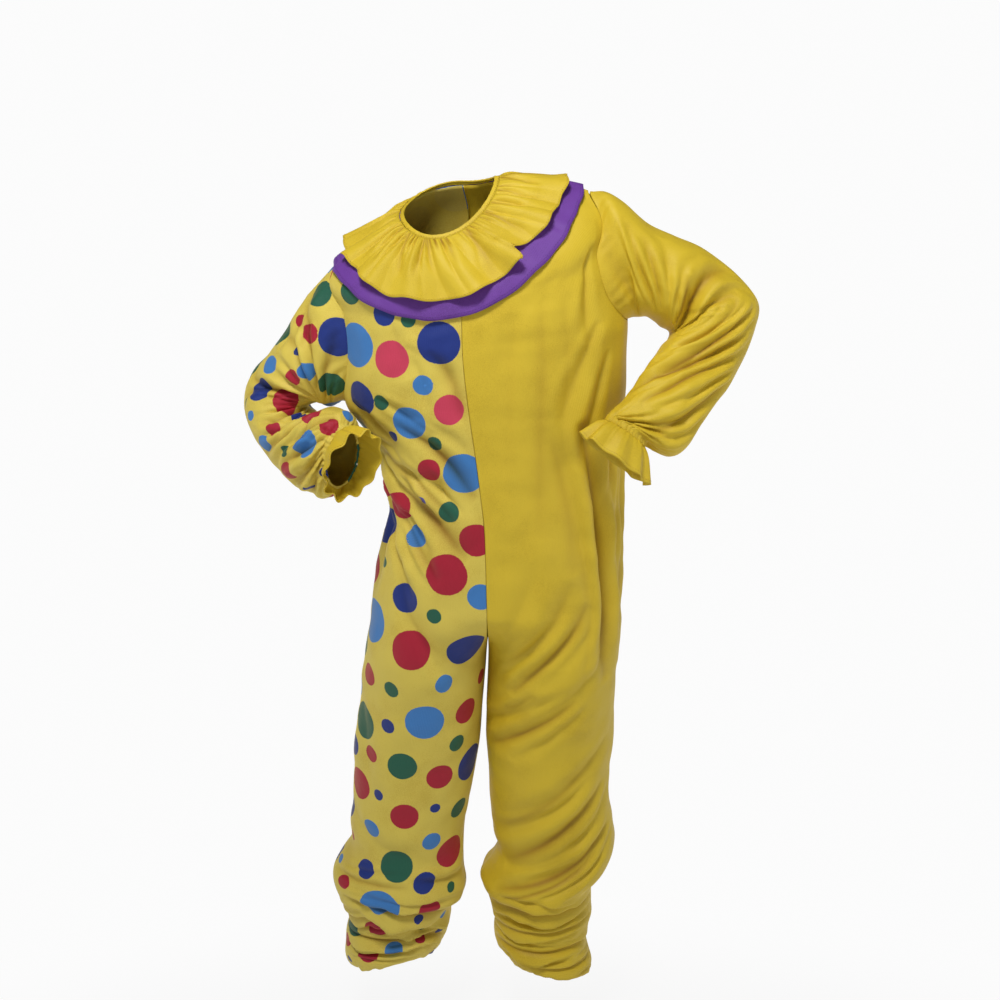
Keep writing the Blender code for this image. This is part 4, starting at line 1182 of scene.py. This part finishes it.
# path: a closed row of points that lie on the cloth
def sewStitches(name, path, tree, sockets, thread):
    count = len(path)
    mesh = bpy.data.meshes.new(name)
    mesh.from_pydata((path * mm).tolist(), [(i, (i + 1) % count) for i in range(count)], [])
    piece = linked(name, mesh)
    modifier = piece.modifiers.new("stitches", "NODES")
    modifier.node_group = tree
    for label in ("Spacing", "Length", "Thickness"):
        modifier[sockets[label]] = stitching[label.lower()] * mm
    for label, value in (("Uneven", stitching["uneven"]), ("Seed", stitching["seed"]),
                         ("Thread", thread)):
        modifier[sockets[label]] = value
    shown = piece.evaluated_get(bpy.context.evaluated_depsgraph_get())
    sewn = bpy.data.meshes.new_from_object(shown)
    piece.modifiers.remove(modifier)
    piece.data = sewn
    bpy.data.meshes.remove(mesh)
    sewn.name = name
    sewn.shade_smooth()
    return piece


def newMaterial(name, **named):
    material = bpy.data.materials.new(name)
    material.use_nodes = True
    shader = material.node_tree.nodes["Principled BSDF"]
    for key, value in named.items():
        shader.inputs[key.replace("_", " ")].default_value = value
    return material, material.node_tree, shader


# The Scale of a noise texture with features of a size in mm.
def noiseScale(size):
    return 1 / (size * mm)


# The Scale of a wave texture with bands that many mm apart, along X or along the diagonal.
def bandScale(apart, diagonal=False):
    return 2 * math.pi / (10 * math.sqrt(3) if diagonal else 20) / (apart * mm)


# Spun polyester thread: a dull twist that catches a little light.
threadLook = {"yellow": "#B8921E", "purple": "#4C2470", "roughness": 0.7, "twist": 0.403,
              "bump": 0.4, "bumpHeight": 0.2}


def threadMaterial(name, colour):
    material, tree, shader = newMaterial(name, Base_Color=(*linear(threadLook[colour]), 1),
                                         Roughness=threadLook["roughness"])
    place = addNode(tree, "ShaderNodeTexCoord").outputs["Object"]
    twist = addNode(tree, "ShaderNodeTexWave", {"bands_direction": "DIAGONAL"}, Vector=place,
                    Scale=bandScale(threadLook["twist"], diagonal=True), Distortion=1.0)
    bump = addNode(tree, "ShaderNodeBump", Height=twist.outputs["Fac"],
                   Strength=threadLook["bump"], Distance=threadLook["bumpHeight"] * mm)
    tree.links.new(bump.outputs["Normal"], shader.inputs["Normal"])
    return material


# The row a set length in from a ruffle's free edge, on its outer side.
def edgeRow(points, normals):
    row = int(np.argmin(np.abs(edgeDistance(points) - stitching["fromEdge"])))
    return points[row] + normals[row] * (collarThickness / 2 + stitching["raise"])


def ankleRow(side, body):
    around = np.linspace(0, 1, 400, endpoint=False)[None, :]
    level = np.full_like(around, hemLevel(side) - stitching["ankleFromHem"])
    points, _ = bodyPoints(side, level, around, body)
    middle = points.mean(axis=1, keepdims=True)
    outer = unit((points - middle) * np.array([1, 1, 0]))
    return (points + outer * (clothThickness / 2 + stitching["raise"]))[0]


# Soft knitted polyester: patches of a slightly darker colour, fine fibres, a rib that shows
# close to, and a little fuzz that catches light along the folds. The real ribs are under 1 mm
# apart and the fibres finer still, so both are drawn as coarse as they need to show.
knitted = {"sheenRoughness": 0.45, "specular": 0.35, "patch": 71.43, "fibre": 1.111,
           "darkAt": 0.75, "lightAt": 1.25, "rib": 2.618, "ribBump": 0.25, "ribHeight": 0.4,
           "crumpleHeight": 6.0}
# creaseShade is how strongly painted shade darkens the cloth along the creases; the colour beside
# it is the colour of that painted shade.
spottedLook = {"light": "#D8C252", "dark": "#CBB042", "roughness": 0.62, "sheen": 0.2,
               "creaseShade": 0.9, "creaseShadeColour": "#A88248", "crumple": 38.46,
               "crumpleStrength": 0.35, "spots": True}
plainLook = {"light": "#D3B62C", "dark": "#C5A723", "roughness": 0.58, "sheen": 0.2,
             "creaseShade": 0.85, "creaseShadeColour": "#A88044", "crumple": 41.67,
             "crumpleStrength": 0.35}
purpleLook = {"light": "#6C3B98", "dark": "#5A2D80", "roughness": 0.6, "sheen": 0.25,
              "creaseShade": 0.4, "creaseShadeColour": "#806090", "crumple": 38.46,
              "crumpleStrength": 0.3}
# The print: how strongly it shows inside, the fuzz on its edge, coarser than the real one so
# that it shows, how far that moves the edge, and how far inside the moved edge it fades.
printed = {"through": 0.05, "fuzz": 2.381, "uneven": 1.6, "edge": (-1.2, -0.4)}


def clothMaterial(name, look):
    material, tree, shader = newMaterial(
        name, Roughness=look["roughness"], Sheen_Weight=look["sheen"],
        Sheen_Roughness=knitted["sheenRoughness"], Sheen_Tint=(*linear(look["light"]), 1),
        Specular_IOR_Level=knitted["specular"])
    place = addNode(tree, "ShaderNodeTexCoord").outputs["Object"]
    cloth = addNode(tree, "ShaderNodeUVMap", {"uv_map": "cloth"}).outputs["UV"]
    patches = addNode(tree, "ShaderNodeTexNoise", Vector=place,
                      Scale=noiseScale(knitted["patch"]), Detail=3.0)
    fibres = addNode(tree, "ShaderNodeTexNoise", Vector=place,
                     Scale=noiseScale(knitted["fibre"]), Detail=2.0)
    mixed = addNode(tree, "ShaderNodeMath", {"operation": "ADD"},
                    (patches.outputs["Fac"], fibres.outputs["Fac"]))
    tint = addNode(tree, "ShaderNodeValToRGB", Fac=mixed.outputs[0])
    for element, shade in zip(tint.color_ramp.elements, ("dark", "light")):
        element.position = knitted[f"{shade}At"]
        element.color = (*linear(look[shade]), 1)
    colour = tint.outputs["Color"]
    if look.get("spots"):
        colour = spotColour(tree, colour, place)
    # Painted shade: the colour is multiplied darker along the bottom of deep folds and in the
    # gathers of the collar.
    crease = addNode(tree, "ShaderNodeAttribute", {"attribute_name": "crease"})
    deep = addNode(tree, "ShaderNodeMath", {"operation": "MULTIPLY"},
                   (crease.outputs["Fac"], look["creaseShade"]))
    shaded = addNode(tree, "ShaderNodeMix", {"data_type": "RGBA", "blend_type": "MULTIPLY"},
                     Factor=deep.outputs[0], A=colour, B=(*linear(look["creaseShadeColour"]), 1))
    tree.links.new(shaded.outputs["Result"], shader.inputs["Base Color"])
    knit = addNode(tree, "ShaderNodeTexWave", {"wave_type": "BANDS", "bands_direction": "X"},
                   Vector=cloth, Scale=bandScale(knitted["rib"]), Distortion=2.0, Detail=1.0,
                   Detail_Scale=3.0)
    crumple = addNode(tree, "ShaderNodeTexNoise", Vector=place,
                      Scale=noiseScale(look["crumple"]), Detail=4.0)
    rib = addNode(tree, "ShaderNodeBump", Height=knit.outputs["Fac"],
                  Strength=knitted["ribBump"], Distance=knitted["ribHeight"] * mm)
    bump = addNode(tree, "ShaderNodeBump", Height=crumple.outputs["Fac"],
                   Strength=look["crumpleStrength"], Distance=knitted["crumpleHeight"] * mm,
                   Normal=rib.outputs["Normal"])
    tree.links.new(bump.outputs["Normal"], shader.inputs["Normal"])
    return material


# Inside its radius, a spot's colour takes the place of the ground's.
def spotColour(tree, ground, place):
    carried = {label: addNode(tree, "ShaderNodeAttribute", {"attribute_name": label}).outputs
               for label in ("clothPlace", "spotCentre", "spotColour", "spotSize")}
    away = addNode(tree, "ShaderNodeVectorMath", {"operation": "DISTANCE"},
                   (carried["clothPlace"]["Vector"], carried["spotCentre"]["Vector"]))
    size = addNode(tree, "ShaderNodeSeparateXYZ", Vector=carried["spotSize"]["Vector"]).outputs
    fuzz = addNode(tree, "ShaderNodeTexNoise", Vector=place, Scale=noiseScale(printed["fuzz"]),
                   Detail=2.0)
    rough = addNode(tree, "ShaderNodeMath", {"operation": "MULTIPLY_ADD"},
                    (fuzz.outputs["Fac"], printed["uneven"] * mm, away.outputs["Value"]))
    within = addNode(tree, "ShaderNodeMath", {"operation": "SUBTRACT"},
                     (size["X"], rough.outputs[0]))
    edge = addNode(tree, "ShaderNodeMapRange", Value=within.outputs[0],
                   From_Min=printed["edge"][0] * mm, From_Max=printed["edge"][1] * mm,
                   To_Max=size["Y"])
    mix = addNode(tree, "ShaderNodeMix", {"data_type": "RGBA"}, Factor=edge.outputs["Result"],
                  A=ground, B=carried["spotColour"]["Color"])
    return mix.outputs["Result"]


# Where more spots are scattered: around and down, or around and stations, and how often each
# size is tried.
scatterAreas = {"front": {"area": ((0.44, 0.50), (0, 1352)), "seed": 3, "tries": 60},
                "back": {"area": ((0.50, 1.0), (0, 1352)), "seed": 7, "tries": 160},
                "sleeve": {"area": ((0.0, 1.0), (0, 15)), "seed": 9, "tries": 60}}


def makeJumpsuit():
    spotted = clothMaterial("knitted polyester, spotted", spottedLook)
    plain = clothMaterial("knitted polyester, yellow", plainLook)
    purple = clothMaterial("knitted polyester, purple", purpleLook)
    front = placedSpots(frontSpots, bodySpotPlace)
    arm = placedSpots(armSpots, armSpotPlace)
    rightBody["spots"] = {
        "front": scatterSpots(front, bodySpotPlace, **scatterAreas["front"]),
        "back": scatterSpots([], bodySpotPlace, **scatterAreas["back"])}
    spottedSleeve["spots"] = scatterSpots(arm, armSpotPlace, **scatterAreas["sleeve"])
    report("spots")
    pieces, sewn = {}, {}
    for side, which, body, cloth in ((-1, "right", rightBody, spotted),
                                     (1, "left", leftBody, plain)):
        for front in (True, False):
            name = f"{'front' if front else 'back'}_{which}"
            pieces[name] = addPanel(f"{name}_cloth", side, front, body, cloth)
    report("panels")
    pieces["sleeve_right"] = addSleeve("sleeve_right_cloth", -1, rightArm, spottedSleeve, spotted)
    pieces["sleeve_left"] = addSleeve("sleeve_left_cloth", 1, leftArm, plainSleeve, plain)
    tree, sockets = stitchTree()
    yellow = threadMaterial("spun polyester thread, yellow", "yellow")
    violet = threadMaterial("spun polyester thread, purple", "purple")

    def sew(node, path, spun):
        sewn[node] = sewStitches(f"{node}_stitches", path, tree, sockets, spun)

    for which, side, arm, cuffTable, cuff in (("right", -1, rightArm, rightCuff, rightRuffle),
                                              ("left", 1, leftArm, leftCuff, leftRuffle)):
        node = f"cuff_ruffle_{which}"
        pieces[node], points, normals = addCuff(f"{node}_cloth", side, arm, cuffTable, cuff, plain)
        sew(node, edgeRow(points, normals), yellow)
    sew("front_right", ankleRow(-1, rightBody), yellow)
    sew("front_left", ankleRow(1, leftBody), yellow)
    report("sleeves and cuffs")
    for node, layer, cloth, spun in (("collar_ruffle", ruffle, plain, yellow),
                                     ("collar_underlayer", underlayer, purple, violet)):
        pieces[node], points, normals = addCollarLayer(f"{node}_cloth", layer, cloth)
        sew(node, edgeRow(points, normals), spun)
    pieces["neck_binding"], path = addBinding("neck_binding_cloth", plain)
    sew("neck_binding", path, yellow)
    report("collar and stitches")
    return pieces, sewn


# width and length of the cut in metres, its area where it isn't a rectangle, how it is held,
# its slot and what it rests on
sheets = {
    "front_right": ((0.46, 1.62), 0.42, "hung", "spotted_cloth", ["collar_underlayer"]),
    "front_left": ((0.46, 1.62), 0.46, "hung", "plain_cloth", ["collar_underlayer"]),
    "back_right": ((0.46, 1.62), 0.44, "hung", "spotted_cloth", ["collar_underlayer"]),
    "back_left": ((0.46, 1.62), 0.45, "hung", "plain_cloth", ["collar_underlayer"]),
    "sleeve_right": ((0.46, 0.46), 0.17, "hung", "spotted_cloth", ["front_right", "back_right"]),
    "sleeve_left": ((0.46, 0.50), 0.19, "hung", "plain_cloth", ["front_left", "back_left"]),
    "cuff_ruffle_right": ((0.44, 0.035), None, "gathered", "plain_cloth", ["sleeve_right"]),
    "cuff_ruffle_left": ((0.46, 0.04), None, "gathered", "plain_cloth", ["sleeve_left"]),
    "collar_ruffle": ((1.02, 0.10), None, "gathered", "plain_cloth",
                      ["collar_underlayer", "neck_binding"]),
    "collar_underlayer": ((0.95, 0.12), None, "gathered", "purple_cloth",
                          ["front_right", "front_left"]),
    "neck_binding": ((0.48, 0.011), None, "stretched", "plain_cloth", ["collar_ruffle"]),
}


def declare(pieces, sewn):
    for name, piece in pieces.items():
        flat, area, held, slot, restsOn = sheets[name]
        extra = {} if area is None else {"area": area}
        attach(piece, "root")
        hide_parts(name)
        if name in sewn:
            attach(sewn[name], "root")
            extra["with_pieces"] = [sewn[name]]


# White paper that takes the suit's soft shadow and turns into an even bright ground behind it.
# Seen directly, paper and sky are close to white all round, whatever light they give the suit.
# These lengths are metres.
paper = {"colour": (0.88, 0.88, 0.88), "roughness": 0.9, "ground": 0.97, "evenShare": 0.22,
         "seenShare": 0.8, "reach": 60, "level": -1.5, "from": (0.07, -2.3, -1.5), "near": 1.9,
         "far": 2.65}
sky = {"overhead": 0.08, "low": 0.10, "high": 0.2}
lamps = {"key": {"place": (-0.3, -1.2, 1.75), "aim": (0.05, 0, -0.35), "size": 0.7, "power": 46},
         "fill": {"place": (2.2, -2.0, 0.6), "aim": (0.05, 0, -0.5), "size": 1.6, "power": 7}}
view = {"place": (0.0739, -1.75, 0.10), "below": 18.1, "lens": 41.3, "sensor": 36.0}


def makeFloor():
    reach, level = paper["reach"], paper["level"]
    mesh = bpy.data.meshes.new("floor")
    mesh.from_pydata([(-reach, -reach, level), (reach, -reach, level), (reach, reach, level),
                      (-reach, reach, level)], [], [(0, 1, 2, 3)])
    material, tree, shader = newMaterial("white paper", Base_Color=(*paper["colour"], 1),
                                         Roughness=paper["roughness"])
    place = addNode(tree, "ShaderNodeTexCoord").outputs["Object"]
    away = addNode(tree, "ShaderNodeVectorMath", {"operation": "DISTANCE"},
                   (place, paper["from"]))
    direct = addNode(tree, "ShaderNodeLightPath").outputs["Is Camera Ray"]
    seen = addNode(tree, "ShaderNodeMix", {"data_type": "FLOAT"}, Factor=direct,
                   A=paper["evenShare"], B=paper["seenShare"])
    share = addNode(tree, "ShaderNodeMapRange", {"interpolation_type": "SMOOTHSTEP"},
                    Value=away.outputs["Value"], From_Min=paper["near"],
                    From_Max=paper["far"], To_Min=seen.outputs["Result"])
    glow = addNode(tree, "ShaderNodeEmission", Strength=paper["ground"])
    mix = addNode(tree, "ShaderNodeMixShader", given=(
        share.outputs["Result"], shader.outputs["BSDF"], glow.outputs["Emission"]))
    tree.links.new(mix.outputs["Shader"], tree.nodes["Material Output"].inputs["Surface"])
    mesh.materials.append(material)
    linked("floor", mesh)


# Bright along the horizon and dimmer overhead, so that the folds keep their shadows.
def makeSky():
    world = bpy.data.worlds.new("studio")
    world.use_nodes = True
    tree = world.node_tree
    ray = addNode(tree, "ShaderNodeTexCoord").outputs["Generated"]
    rise = addNode(tree, "ShaderNodeSeparateXYZ", Vector=ray)
    share = addNode(tree, "ShaderNodeMapRange", {"interpolation_type": "SMOOTHSTEP"},
                    Value=rise.outputs["Z"], From_Min=sky["low"], From_Max=sky["high"],
                    To_Min=paper["ground"], To_Max=sky["overhead"])
    direct = addNode(tree, "ShaderNodeLightPath").outputs["Is Camera Ray"]
    seen = addNode(tree, "ShaderNodeMix", {"data_type": "FLOAT"}, Factor=direct,
                   A=share.outputs["Result"], B=paper["ground"])
    tree.links.new(seen.outputs["Result"], tree.nodes["Background"].inputs["Strength"])
    tree.nodes["Background"].inputs["Color"].default_value = (1, 1, 1, 1)
    bpy.context.scene.world = world


def makeLamps():
    for name, lamp in lamps.items():
        light = bpy.data.lights.new(name, "AREA")
        light.shape = "DISK"
        light.size = lamp["size"]
        light.energy = lamp["power"]
        holder = linked(name, light)
        holder.location = lamp["place"]
        toward = np.array(lamp["aim"]) - np.array(lamp["place"])
        level = math.hypot(toward[0], toward[1])
        holder.rotation_euler = (math.atan2(level, -toward[2]), 0,
                                 math.atan2(toward[1], toward[0]) - math.pi / 2)


def makeCamera():
    camera = bpy.data.cameras.new("camera")
    camera.sensor_width = view["sensor"]
    camera.lens = view["lens"]
    holder = linked("camera", camera)
    holder.location = view["place"]
    holder.rotation_euler = (math.radians(90 - view["below"]), 0, 0)
    bpy.context.scene.camera = holder


pieces, sewn = makeJumpsuit()
declare(pieces, sewn)
makeFloor()
makeSky()
makeLamps()
makeCamera()
bpy.context.scene.view_settings.view_transform = "Standard"
report("studio")
